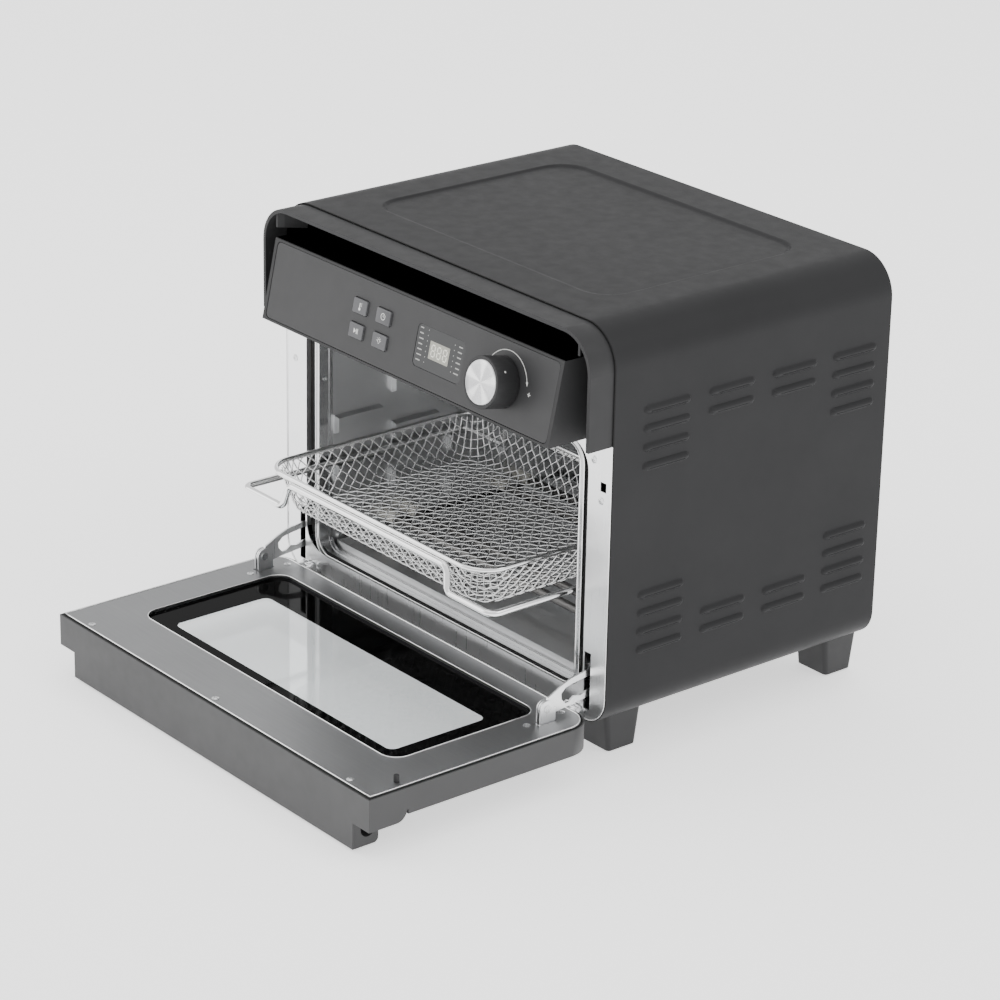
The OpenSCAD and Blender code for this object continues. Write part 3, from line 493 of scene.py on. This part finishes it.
def louvre_centres():
    """Depth and height of each louvre: columns that grow from the top and the bottom."""
    out = []
    for y, rows in zip(LOUVRE_Y, LOUVRE_ROWS):
        for i in range(rows):
            out.append((y, LOUVRE_HIGH - i * LOUVRE_PITCH))
            out.append((y, LOUVRE_LOW + i * LOUVRE_PITCH))
    return out


def spaced(stops):
    """Grid lines between stops: [(position, spacing to the next stop), ...]."""
    out = []
    for (a, step), (b, _) in zip(stops, stops[1:]):
        n = max(1, round((b - a) / step))
        out += [a + (b - a) * k / n for k in range(n)]
    out.append(stops[-1][0])
    return np.array(out)


def smoothstep(t):
    t = np.clip(t, 0, 1)
    return t * t * (3 - 2 * t)


def wrap_corner(r, z, start, steps):
    """Grid lines round a quarter bend on the left, from a start angle backwards."""
    out = []
    for k in range(steps):
        w = math.radians(start - 90 * k / steps)
        c, d = math.cos(w), math.sin(w)
        out.append((-WRAP_W + r + r * c, z + r * d, c, d, BEND))
    return out


def wrap_lines():
    """Grid lines round the sheet, as x, z, outward direction and kind."""
    rows = 3 * LOUVRE_PITCH
    side = [(WRAP_Z0 + BOTTOM_R, 6)]
    for low, high in ((LOUVRE_LOW - 4.2, LOUVRE_LOW + rows + 4.2),
                      (LOUVRE_HIGH - rows - 4.2, LOUVRE_HIGH + 4.2)):
        side += [(low, 0.62), (high, 6)]
    side += [(WRAP_Z1 - TOP_R, 1)]
    lips = np.linspace(-LIP_X, -WRAP_W + BOTTOM_R, 5)[:-1]
    half = [(x, WRAP_Z0, 0, -1, BEND) for x in lips]
    half += wrap_corner(BOTTOM_R, WRAP_Z0 + BOTTOM_R, 270, 12)
    half += [(-WRAP_W, z, -1, 0, SIDE) for z in spaced(side)[:-1]]
    half += wrap_corner(TOP_R, WRAP_Z1 - TOP_R, 180, 18)
    w, flat = PAN[0], WRAP_W - TOP_R
    xs = spaced([(-flat, 5), (-w - 3, 0.8), (-w + 3, 1.6), (-w + 26, 8),
                 (w - 26, 1.6), (w - 3, 0.8), (w + 3, 5), (flat, 1)])
    line = half + [(x, WRAP_Z1, 0, 1, TOP) for x in xs[:-1]] + [(flat, WRAP_Z1, 0, 1, BEND)]
    line += [(-x, z, -nx, nz, kind) for x, z, nx, nz, kind in reversed(half)]
    return [q for k, q in enumerate(line) if k == 0 or math.dist(q[:2], line[k - 1][:2]) > 1e-6]


def build_wrap():
    ys = spaced([(0, 0.5), (1.5, 4), (26, 0.8), (33, 1.6), (66, 0.8), (70.5, 4), (86, 0.8), (91, 3),
                 (125, 0.8), (130.5, 4), (146, 0.8), (151, 3), (185, 0.8), (190.5, 4), (200, 1.6),
                 (205, 0.8), (211, 1.6), (243, 0.8), (249, 4), (260.5, 0.5), (WRAP_D, 1)])
    line = wrap_lines()
    L = np.array(line)
    nl, ny = len(L), len(ys)
    S = np.repeat(L[:, None, :], ny, 1)
    Y = np.repeat(ys[None, :], nl, 0)
    h = np.zeros((nl, ny))
    cut = np.zeros((nl, ny), bool)
    on_side = (S[..., 4] == SIDE)
    for cy, cz in louvre_centres():
        u = (Y - cy) / (LOUVRE_L / 2)
        end = np.clip((1 - np.abs(u)) * LOUVRE_L / 2 / (LOUVRE_H * 0.62), 0, 1)
        cap = np.sqrt(np.clip(1 - (1 - end) ** 2, 0, 1))
        half_h = LOUVRE_H / 2 * (0.35 + 0.65 * cap)
        rise = S[..., 1] - cz
        v = rise / half_h
        prof = np.cos(np.clip(v, -1, 1) * math.pi / 2) ** 0.8
        bump = np.where((np.abs(v) < 1) & (np.abs(u) < 1) & on_side, LOUVRE_OUT * prof * cap, 0)
        h = np.maximum(h, bump)
        cut |= on_side & (np.abs(Y - cy) < LOUVRE_L / 2 - 4.0) & (rise < -0.55) & (rise > -2.0)
    on_top = (S[..., 4] == TOP)
    pw, py0, py1, pr, drop = PAN
    qx = np.abs(S[..., 0]) - (pw - pr)
    qy = np.abs(Y - (py0 + py1) / 2) - ((py1 - py0) / 2 - pr)
    dist = np.hypot(np.maximum(qx, 0), np.maximum(qy, 0)) - pr
    dist += np.minimum(np.maximum(qx, qy), 0)
    h -= np.where(on_top, drop * (1 - smoothstep((dist + 1.3) / 2.0)), 0)
    X = S[..., 0] + S[..., 2] * h
    Z = S[..., 1] + S[..., 3] * h
    verts = place(np.stack([X, Y, Z], -1).reshape(-1, 3))
    faces = []
    for i in range(nl - 1):
        for j in range(ny - 1):
            if cut[i, j] and cut[i + 1, j] and cut[i, j + 1] and cut[i + 1, j + 1]:
                continue
            faces.append((i * ny + j, (i + 1) * ny + j, (i + 1) * ny + j + 1, i * ny + j + 1))
    ob = mesh_piece("wrap_skin", verts, faces, "casing", mats["casing_black"],
                    40, ["outer_wrap"])
    me = ob.data
    # Outward normals are set by a known face, because the sheet is open.
    f = me.polygons[len(me.polygons) // 2]
    if f.normal.z < 0:
        me.flip_normals()
    solidify(ob, SHEET * MM)


build_wrap()

# -------------------------------------------------------------------- basket

RIM_Z, TUB_Z, RIM_R, WIRE_R = 152.5, 120.0, 2.0, 2.6
BASKET_W, BASKET_Y0, BASKET_Y1 = 130.5, -67.0, 138.0
BASKET_MID, BASKET_HALF = (BASKET_Y0 + BASKET_Y1) / 2, (BASKET_Y1 - BASKET_Y0) / 2
RIM_CORNER, TAPER, FOLD = 22.0, 12.0, 5.0
FLOOR_Z = TUB_Z + 0.8
WEAVE_R, WEAVE_PITCH, WEAVE_LIFT = 0.55, 6.9, 0.5


def wire_piece(name, paths, radius, sides, smooth, node, closed=True):
    v, f = tubes(paths, radius, sides, closed)
    mesh_piece(name, place(v), f, "basket", mats["bright_wire"], smooth, [node])


def build_rim():
    x, y0, y1 = BASKET_W - RIM_R, BASKET_Y0 + RIM_R, BASKET_Y1 - RIM_R
    path = [(px, py, RIM_Z) for px, py in round_rect(-x, y0, x, y1, RIM_CORNER, 14)]
    wire_piece("basket_rim_wire", [path], RIM_R, 20, 60, "basket_rim")


def build_support():
    """One closed wire: cross runs under the rim at both ends and low wings at the sides."""
    x, half_l = 150.0 - WIRE_R, BASKET_HALF + 6 - WIRE_R
    cross_z, wing_z, lift_x, lift_in = RIM_Z - 4.2, 130.5, 98.0, 3.0
    pts = []
    for e in (1, -1):
        y = -e * half_l
        y_in = y + e * lift_in
        run = [(-x, y, wing_z), (-lift_x, y, wing_z), (-lift_x + 4, y_in, cross_z),
               (lift_x - 4, y_in, cross_z), (lift_x, y, wing_z), (x, y, wing_z)]
        pts += run if e > 0 else run[::-1]
    path = filleted([(a, b + BASKET_MID, c) for a, b, c in pts], 6.5, 8)
    fine = []
    for a, b in zip(path, path[1:] + path[:1]):
        n = max(1, int(np.linalg.norm(b - a) / 12))
        fine += [a + (b - a) * k / n for k in range(n)]
    wire_piece("basket_support_wire", [fine], WIRE_R, 20, 60, "basket_frame")


def tub_point(px, py, lift):
    """A point of the flat cloth on the pressed tub, raised along the surface normal.

    None where the cloth would be past the rim."""
    half_w = BASKET_W - RIM_R - TAPER
    half_l = BASKET_HALF - RIM_R - TAPER
    r = RIM_CORNER - 4
    height = RIM_Z - RIM_R * 0.3 - FLOOR_Z
    slant = math.hypot(TAPER, height)
    sx, sy = math.copysign(1, px), math.copysign(1, py)
    qx, qy = abs(px) - (half_w - r), abs(py) - (half_l - r)
    if qx > 0 and qy > 0:
        d = math.hypot(qx, qy)
        nx, ny = qx / d * sx, qy / d * sy
        dist = d - r
        foot = ((half_w - r) * sx + nx * r, (half_l - r) * sy + ny * r)
    elif qx - r > qy - r:
        nx, ny, dist = sx, 0.0, qx - r
        foot = (half_w * sx, py)
    else:
        nx, ny, dist = 0.0, sy, qy - r
        foot = (px, half_l * sy)
    if dist > slant:
        return None
    if dist <= -FOLD:
        return (px, py + BASKET_MID, FLOOR_Z + lift)
    # Quarter-round fold between the floor and the sloping wall
    ang = math.atan2(height, TAPER)
    if dist >= FOLD:
        along_in, z = dist * math.cos(ang), dist * math.sin(ang)
        n_out, n_up = -math.sin(ang), math.cos(ang)
    else:
        t = (dist + FOLD) / (2 * FOLD)
        blend = t * t * (3 - 2 * t)
        w, rad = t * ang, 2 * FOLD / ang
        along_in = -FOLD + rad * math.sin(w)
        z = rad * (1 - math.cos(w))
        shift = FOLD * math.cos(ang) - (-FOLD + rad * math.sin(ang))
        lift_z = FOLD * math.sin(ang) - rad * (1 - math.cos(ang))
        along_in += shift * blend
        z += lift_z * blend
        n_out, n_up = -math.sin(w), math.cos(w)
    bx, by = foot[0] + nx * along_in, foot[1] + ny * along_in
    out = n_out * lift
    return (bx + nx * out, by + BASKET_MID + ny * out, FLOOR_Z + z + n_up * lift)


def build_weave():
    half_x = BASKET_W - RIM_R - TAPER + 36
    half_y = BASKET_HALF - RIM_R - TAPER + 36
    reach = (half_x + half_y) / math.sqrt(2)
    count = int(reach / WEAVE_PITCH)
    s2, step = math.sqrt(0.5), 1.72
    paths = []
    for fam in (0, 1):
        for k in range(-count, count + 1):
            c = k * WEAVE_PITCH
            current = []
            for i in range(int(2 * reach / step) + 1):
                s = -reach + i * step
                p, q = (s, c) if fam == 0 else (c, s)
                x, y = (p - q) * s2, (p + q) * s2
                phase = math.cos(math.pi * s / WEAVE_PITCH) * (1 if (k + fam) % 2 == 0 else -1)
                point = tub_point(x, y, WEAVE_LIFT * phase)
                if point is None:
                    if len(current) > 3:
                        paths.append(current)
                    current = []
                else:
                    current.append(point)
            if len(current) > 3:
                paths.append(current)
    wire_piece("basket_weave", paths, WEAVE_R, 5, 80, "basket_mesh", closed=False)


build_rim()
build_support()
build_weave()

# ------------------------------------------------------------- control panel

LEAN = math.radians(12.0)
PANEL_O = np.array([0.0, -39.0, 252.6])
PANEL_R = np.array([1.0, 0.0, 0.0])
PANEL_U = np.array([0.0, math.sin(LEAN), math.cos(LEAN)])
PANEL_N = np.cross(PANEL_R, PANEL_U)
FASCIA_TOP = -0.3
KEY_TOP = 1.2
PRINT_T = 0.06


def on_panel(u, v, w):
    """A point of the leaning panel: across, up it and out of its face."""
    return PANEL_O + PANEL_R * u + PANEL_U * v + PANEL_N * w


def panel_shapes(shapes, w, depth=PRINT_T):
    """Thin raised prisms on the panel from 2D outlines."""
    return join_parts([plate_on(on_panel(0, 0, w), PANEL_R, PANEL_U, s, depth) for s in shapes])


def bar(x0, y0, x1, y1, t):
    """Outline of a straight stroke of thickness t."""
    a, b = np.array([x0, y0]), np.array([x1, y1])
    d = (b - a) / np.linalg.norm(b - a)
    n = np.array([-d[1], d[0]]) * t / 2
    return [tuple(q) for q in (a - n, b - n, b + n, a + n)]


def polar(cx, cy, r, w):
    return (cx + r * math.cos(w), cy + r * math.sin(w))


def disc(x, y, r, n=20):
    return [polar(x, y, r, TAU * k / n) for k in range(n)]


def arc_strokes(cx, cy, r, a0, a1, t, n):
    """An arc of thickness t as n short pieces."""
    out = []
    for k in range(n):
        w0, w1 = (math.radians(a0 + (a1 - a0) * (k + e) / n) for e in (0, 1))
        inner, outer = r - t / 2, r + t / 2
        ring = [polar(cx, cy, q, w) for q, w in ((inner, w0), (inner, w1), (outer, w1), (outer, w0))]
        out.append(ring if a1 < a0 else ring[::-1])
    return out


KEYS = {
    "button_temperature": (-55.4, 39.3), "button_time": (-27.8, 39.3),
    "button_start": (-55.4, 21.1), "button_lamp": (-27.8, 21.1),
}


def key_icon(kind, x, y):
    """Thermometer, clock, start and pause, or lamp."""
    if kind == "button_temperature":
        shapes = [bar(x, y - 1.2, x, y + 2.6, 0.9), disc(x, y - 1.8, 1.15)]
        shapes += [bar(x + 1.2, y + h, x + 2.2, y + h, 0.4) for h in (0.4, 1.4, 2.4)]
        return shapes
    if kind == "button_time":
        hands = [bar(x, y - 0.2, x, y + 1.5, 0.45), bar(x - 0.2, y, x + 1.2, y, 0.45)]
        return arc_strokes(x, y, 2.3, 0, 360, 0.5, 28) + hands
    if kind == "button_start":
        bars = [bar(x + h, y - 1.9, x + h, y + 1.9, 0.7) for h in (1.1, 2.3)]
        return [[(x - 2.3, y - 1.9), (x + 0.5, y), (x - 2.3, y + 1.9)]] + bars
    shapes = arc_strokes(x, y + 0.3, 1.25, -60, 240, 0.45, 18)
    shapes.append(bar(x - 0.7, y - 1.4, x + 0.7, y - 1.4, 0.45))
    for k in range(5):
        w = math.radians(45 * k)
        shapes.append(bar(*polar(x, y + 0.4, 1.9, w), *polar(x, y + 0.4, 2.6, w), 0.4))
    return shapes


for key, (kx, ky) in KEYS.items():
    v, f = panel_shapes(key_icon(key, kx, ky), KEY_TOP)
    mesh_piece(key + "_icon", place(v), f, key, PRINT, 0)

WIN_X, WIN_Y = 37.3, 30.5
WINDOW_TOP = -0.6
DIGIT_W, DIGIT_H, DIGIT_GAP, DIGIT_T = 3.9, 8.2, 6.6, 0.95
TICK_PITCH, TICK_T = 3.9, 0.9
# Per side of the digits: the first tick's drop, the dots' distance and the ticks' lengths
TICKS = {-1: (0.0, 14.6, (3.4, 4.2, 4.8, 4.4, 4.8, 5.2, 4.6)),
         1: (2.4, 15.6, (4.0, 4.4, 4.4, 4.8, 4.2, 5.4))}
SEGMENTS = {"a": (0, 1, 1, 1), "b": (1, 1, 1, 0.5), "c": (1, 0.5, 1, 0), "d": (0, 0, 1, 0),
            "e": (0, 0, 0, 0.5), "f": (0, 0.5, 0, 1), "g": (0, 0.5, 1, 0.5)}


def build_display():
    block = round_rect(WIN_X - 11.0, WIN_Y - 6.5, WIN_X + 11.0, WIN_Y + 6.5, 0.4, 2)
    v, f = panel_shapes([block], WINDOW_TOP, 0.05)
    ground = moulded("digit_ground", (0.36, 0.355, 0.31), 0.35, grain=500.0, bump=0.02)
    mesh_piece("digit_block", place(v), f, "casing", ground, 0)
    strokes = []
    for n in (-1, 0, 1):
        ox, oy = WIN_X + n * DIGIT_GAP - DIGIT_W / 2, WIN_Y - DIGIT_H / 2
        for x0, y0, x1, y1 in SEGMENTS.values():
            a = np.array([ox + x0 * DIGIT_W, oy + y0 * DIGIT_H])
            b = np.array([ox + x1 * DIGIT_W, oy + y1 * DIGIT_H])
            d = (b - a) / np.linalg.norm(b - a) * 0.55
            strokes.append(bar(*(a + d), *(b - d), DIGIT_T))
    v, f = panel_shapes(strokes, WINDOW_TOP + 0.05, 0.05)
    lit = moulded("digit_segments", (0.86, 0.85, 0.76), 0.4, grain=500.0, bump=0.02)
    mesh_piece("digit_segments", place(v), f, "casing", lit, 0)
    ticks = []
    for side, (drop, dot, lengths) in TICKS.items():
        for i, length in enumerate(lengths):
            y = WIN_Y + 13.0 - i * TICK_PITCH - drop
            outer = WIN_X + side * 24.0
            inner = outer - side * length
            ticks.append(bar(min(outer, inner), y, max(outer, inner), y, TICK_T))
            ticks.append(disc(WIN_X + side * dot, y, 0.42, 8))
    v, f = panel_shapes(ticks, WINDOW_TOP, 0.04)
    faint = moulded("tick_print", (0.40, 0.40, 0.39), 0.5, grain=1200.0, bump=0.05)
    mesh_piece("display_ticks", place(v), f, "casing", faint, 0)


build_display()


def build_arc():
    """The turning arc round the knob, its arrow head and the plus mark."""
    cx, cy, r = 111.0, 30.5, 23.2
    shapes = arc_strokes(cx, cy, r, 143, 17, 0.55, 40)
    tip = math.radians(15)
    end = np.array(polar(cx, cy, r, tip))
    ahead = np.array([math.sin(tip), -math.cos(tip)])
    wing = np.array([math.cos(tip), math.sin(tip)]) * 1.1
    shapes.append([tuple(q) for q in (end - wing - ahead, end + ahead * 2.2, end + wing - ahead)])
    px, py, arm = cx + 26.3, cy - 0.8, 1.5
    shapes += [bar(px - arm, py, px + arm, py, 0.7), bar(px, py - arm, px, py + arm, 0.7)]
    v, f = panel_shapes(shapes, FASCIA_TOP)
    mesh_piece("turn_arc", place(v), f, "casing", PRINT, 0)


build_arc()

KNOB_U, KNOB_V = 108.6, 30.5
CAP_R, CAP_Z = 16.0, 19.25
FANS, GROOVES = 5.0, 26000.0
FACE_R, FACE_H = 14.4, 0.62
# Radius and height over the cap's seat for each ring of the chamfered rim
CAP_RIM = ((FACE_R, FACE_H), (14.9, 0.86), (15.5, 0.86), (CAP_R, 0.35))


def cap_ring(r, height, spokes):
    """Points round the cap at one radius, with height as a function of the angle."""
    angles = [TAU * j / spokes for j in range(spokes)]
    return [on_panel(*polar(KNOB_U, KNOB_V, r, w), CAP_Z + height(w)) for w in angles]


def spun_material():
    """Aluminium with lathe grooves, and radial sectors of painted highlight and shade in its colour
    for the spun finish's sheen.
    """
    t = Tree("radial_spun_painted_sheen")
    s = t.shader(Metallic=1.0)
    turned = t.add("ShaderNodeMapping", vector_type="TEXTURE")
    turned.inputs["Location"].default_value = tuple(place([on_panel(KNOB_U, KNOB_V, CAP_Z)])[0])
    turned.inputs["Rotation"].default_value = (math.pi / 2 - LEAN, 0, 0)
    t.link(t.coords, turned.inputs["Vector"])
    split = t.add("ShaderNodeSeparateXYZ")
    t.link(turned.outputs["Vector"], split.inputs["Vector"])
    angle = t.add("ShaderNodeMath", operation="ARCTAN2")
    t.link(split.outputs["Y"], angle.inputs[0])
    t.link(split.outputs["X"], angle.inputs[1])
    dist = t.add("ShaderNodeVectorMath", operation="LENGTH")
    t.link(turned.outputs["Vector"], dist.inputs[0])

    def wave(value, factor):
        product = t.add("ShaderNodeMath", operation="MULTIPLY")
        product.inputs[1].default_value = factor
        t.link(value, product.inputs[0])
        sine = t.add("ShaderNodeMath", operation="SINE")
        t.link(product.outputs[0], sine.inputs[0])
        return sine.outputs[0]

    sectors = wave(angle.outputs[0], FANS)
    grooves = wave(dist.outputs["Value"], GROOVES)
    # Painted sheen: the base colour swings between light and dark sectors round the cap
    painted_sheen = t.ramp(sectors, (0.62, 0.62, 0.63), (0.97, 0.97, 0.97), 0.0, 0.9)
    t.link(painted_sheen, s.inputs["Base Color"])
    t.link(t.bump(grooves, 0.25, 0.00003), s.inputs["Normal"])
    t.link(t.remap(t.noise(300.0), 0.24, 0.34), s.inputs["Roughness"])
    return t.mat


def build_knob_cap():
    """Spun disc with a chamfered rim and shallow radial fans that catch the light in sectors."""
    spokes = 120
    verts = []
    for r in (0.0, 1.0, 3.0, 6.0, 9.0, 12.0):
        swell = 0.16 * min(1.0, r / 3.0) * (r / FACE_R)
        verts += cap_ring(r, lambda w, k=swell: FACE_H + k * math.sin(FANS * w + 0.7), spokes)
    for r, height in CAP_RIM + ((CAP_R, 0.0),):
        verts += cap_ring(r, lambda w, k=height: k, spokes)
    faces = []
    last = len(verts) - spokes
    for base in range(0, last, spokes):
        for j in range(spokes):
            j2 = (j + 1) % spokes
            faces.append((base + j, base + spokes + j, base + spokes + j2, base + j2))
    faces.append(tuple(range(last, last + spokes)))
    mesh_piece("knob_disc", place(verts), faces, "knob", spun_material(), 35,
               ["knob_cap"])
    side = math.radians(38)
    mark = on_panel(*polar(KNOB_U, KNOB_V, 18.5, side), 12.2)
    tangent = PANEL_R * -math.sin(side) + PANEL_U * math.cos(side)
    v, f = plate_on(mark, tangent, PANEL_N, disc(0, 0, 0.75, 16), 0.12)
    mesh_piece("knob_mark", place(v), f, "knob", PRINT, 0)


build_knob_cap()

# ---------------------------------------------------------------- door glass

DOOR_Z = 48.0
# Plan of the inner sheet's window and of the clear glass in it: x0, y0, x1, y1, corner radius
WINDOW = (-154.0, -160.5, 154.0, -31.0, 13.0)
CLEAR = (-127.0, -149.0, 137.0, -64.5, 6.0)
GLASS_TOP, GLASS_T = DOOR_Z - 2.4, 3.0


def door_outline(inset):
    """The door's plan set in by a distance: square free corners, round hinge-side ones."""
    w, rear, front, r = 191.0 - inset, -8.0 - inset, -208.5 + inset, 22.0 - inset
    steps = 10
    pts = []
    for sx, a in ((1, 0), (-1, 90)):
        for k in range(steps + 1):
            pts.append(polar(sx * (w - r), rear - r, r, math.radians(a + 90 * k / steps)))
    return pts + [(-w, front), (w, front)]


def build_panel_rim():
    """Folded edges round the door's inner sheet and its window in bright metal, a lighter copy of
    the sheet's metal that paints their highlight, and a black tube of painted shade in the gap
    outside the sheet's fold.
    """
    for name, inset, z, r, mat in (("panel_fold", 3.2, DOOR_Z - 0.1, 0.55, BRIGHT_EDGE_METAL),
                                   ("panel_gap_shade", 1.6, DOOR_Z - 1.2, 0.75, GAP_SHADE)):
        v, f = tubes([plan_path(door_outline(inset), z)], r, 10, closed=True)
        mesh_piece(name, place(v), f, "door", mat, 60)
    v, f = tubes([plan_path(round_rect(*WINDOW, 8), DOOR_Z + 0.05)], 0.4, 10, closed=True)
    mesh_piece("window_fold", place(v), f, "door", BRIGHT_EDGE_METAL, 60)


def build_door_glass():
    outer = round_rect(*grown(WINDOW, 5.0)[:4], 6)
    v, f = plate_on((0, 0, GLASS_TOP - GLASS_T), (1, 0, 0), (0, 1, 0), outer, GLASS_T)
    pane = mesh_piece("door_pane", place(v), f, "door", mats["door_glass"], 40,
                      ["door_inner_glass"])
    bevel(pane, 0.3, 2)
    # Printed border on the pane's face, with a clear middle
    steps = 10
    rings = round_rect(*grown(WINDOW, 4.5)[:4], 6, steps), round_rect(*CLEAR, steps)
    levels = GLASS_TOP + 0.005, GLASS_TOP + 0.05
    verts = [(x, y, z) for z in levels for ring in rings for x, y in ring]
    mesh_piece("door_pane_border", place(verts), frame_faces(len(rings[0])), "door", FRIT,
               30)


build_panel_rim()
build_door_glass()

# ------------------------------------------------------- mouth and body edges

# Front-view rectangles of the mouth: x0, z0, x1, z1, corner radius
CAVITY = (-152.0, 58.0, 152.0, 240.0, 12.0)
# Outlines of the black band of painted shade in the gap round the ring
MOUTH_SHADE_IN = (-157.0, 59.5, 157.0, 245.0, 17.0)
MOUTH_SHADE_OUT = (-164.3, 58.2, 164.3, 245.8, 19.8)
RING_Y, SEAM_Z = 3.0, 252.0
GROOVE_IN, EDGE_IN = 0.35, 1.3


def edge_tube(name, outline, y, radius, mat, closed=False):
    v, f = tubes([front_path(outline, y, closed)], radius, 10, closed)
    mesh_piece(name, place(v), f, "casing", mat, 60)


def build_mouth():
    """Beads on the ring's flange in bright metal that paints their highlight, and a black band of
    painted shade in the gap between the ring and the front plate.
    """
    for name, by in (("mouth_bead_inner", 0.5), ("mouth_bead_outer", 4.6)):
        bead = round_rect(*grown(CAVITY, by))
        edge_tube(name, bead, RING_Y - 0.1, 0.5, BRIGHT_EDGE_METAL, closed=True)
    rings = round_rect(*MOUTH_SHADE_OUT), round_rect(*MOUTH_SHADE_IN)
    levels = RING_Y + 1.4, RING_Y + 2.0
    verts = [(x, y, z) for y in levels for ring in rings for x, z in ring]
    mesh_piece("mouth_gap_shade", place(verts), frame_faces(len(rings[0])), "casing", GAP_SHADE,
               30)


def build_outer_edges():
    """A black tube of painted shade in the groove between the hood and the sheet, and the front
    plate's bright edge below it.
    """
    w = WRAP_W - GROOVE_IN
    top = round_rect(-w, 0, w, WRAP_Z1 - GROOVE_IN, TOP_R - GROOVE_IN, 12)
    arch = [(w, SEAM_Z)] + [q for q in top if q[1] > SEAM_Z] + [(-w, SEAM_Z)]
    edge_tube("hood_groove_shade", arch, -0.35, 0.42, GAP_SHADE)
    w = WRAP_W - EDGE_IN
    low = round_rect(-w, WRAP_Z0 + EDGE_IN, w, WRAP_Z1, BOTTOM_R - EDGE_IN, 12)
    low = [q for q in low if q[1] < SEAM_Z]
    edge = [(-w, SEAM_Z)] + low + [(w, SEAM_Z)]
    edge_tube("plate_edge", edge, -0.05, 0.45, BRIGHT_EDGE_METAL)


build_mouth()
build_outer_edges()

# --------------------------------------------------------------------- stage

FLOOR_HALF, FLOOR_GLOW = 9.0, 1.1
WORLD_LIGHT = 1.15


def build_stage():
    h = FLOOR_HALF
    me = bpy.data.meshes.new("floor")
    me.from_pydata([(-h, -h, 0), (h, -h, 0), (h, h, 0), (-h, h, 0)], [], [(0, 1, 2, 3)])
    floor = bpy.data.objects.new("floor", me)
    scene.collection.objects.link(floor)
    paper = moulded("floor_paper", (0.93, 0.93, 0.93), 0.9, grain=200.0, bump=0.02,
                    spread=0.005)
    glow = next(n for n in paper.node_tree.nodes if n.type == "BSDF_PRINCIPLED")
    glow.inputs["Emission Color"].default_value = (1, 1, 1, 1)
    glow.inputs["Emission Strength"].default_value = FLOOR_GLOW
    me.materials.append(paper)


def area_light(name, at, aim, size, power):
    data = bpy.data.lights.new(name, "AREA")
    data.shape = "RECTANGLE"
    data.size, data.size_y = size
    data.energy = power
    ob = bpy.data.objects.new(name, data)
    scene.collection.objects.link(ob)
    ob.location = at
    ob.rotation_euler = (Vector(aim) - Vector(at)).to_track_quat("-Z", "Y").to_euler()


build_stage()
area_light("top_box", (-0.3, 0.2, 2.4), (0, 0, 0.15), (2.2, 2.2), 16)
area_light("left_box", (-2.0, -1.6, 1.3), (0, 0, 0.2), (1.6, 1.8), 16)
area_light("right_box", (1.7, 0.9, 2.1), (0, 0, 0.25), (1.2, 1.2), 12)

world = bpy.data.worlds.new("studio")
scene.world = world
world.use_nodes = True
background = world.node_tree.nodes["Background"]
background.inputs["Color"].default_value = (1.0, 1.0, 1.0, 1)
background.inputs["Strength"].default_value = WORLD_LIGHT

# -------------------------------------------------------------------- camera

CAMERA_AT = (1886.3, -1497.4, 1135.0)
CAMERA_RIGHT = Vector((0.62999, 0.77638, 0.01846))
CAMERA_AHEAD = Vector((-0.71450, 0.58876, -0.37796))
LENS = 128.25


def build_camera():
    data = bpy.data.cameras.new("camera")
    data.lens = LENS
    data.sensor_width = 36.0
    data.clip_start, data.clip_end = 0.05, 50.0
    cam = bpy.data.objects.new("camera", data)
    scene.collection.objects.link(cam)
    back = -CAMERA_AHEAD.normalized()
    up = back.cross(CAMERA_RIGHT).normalized()
    right = up.cross(back)
    turn = Matrix((right, up, back)).transposed()
    at = Vector(place([CAMERA_AT])[0])
    cam.matrix_world = Matrix.Translation(at) @ turn.to_4x4()
    scene.camera = cam


build_camera()
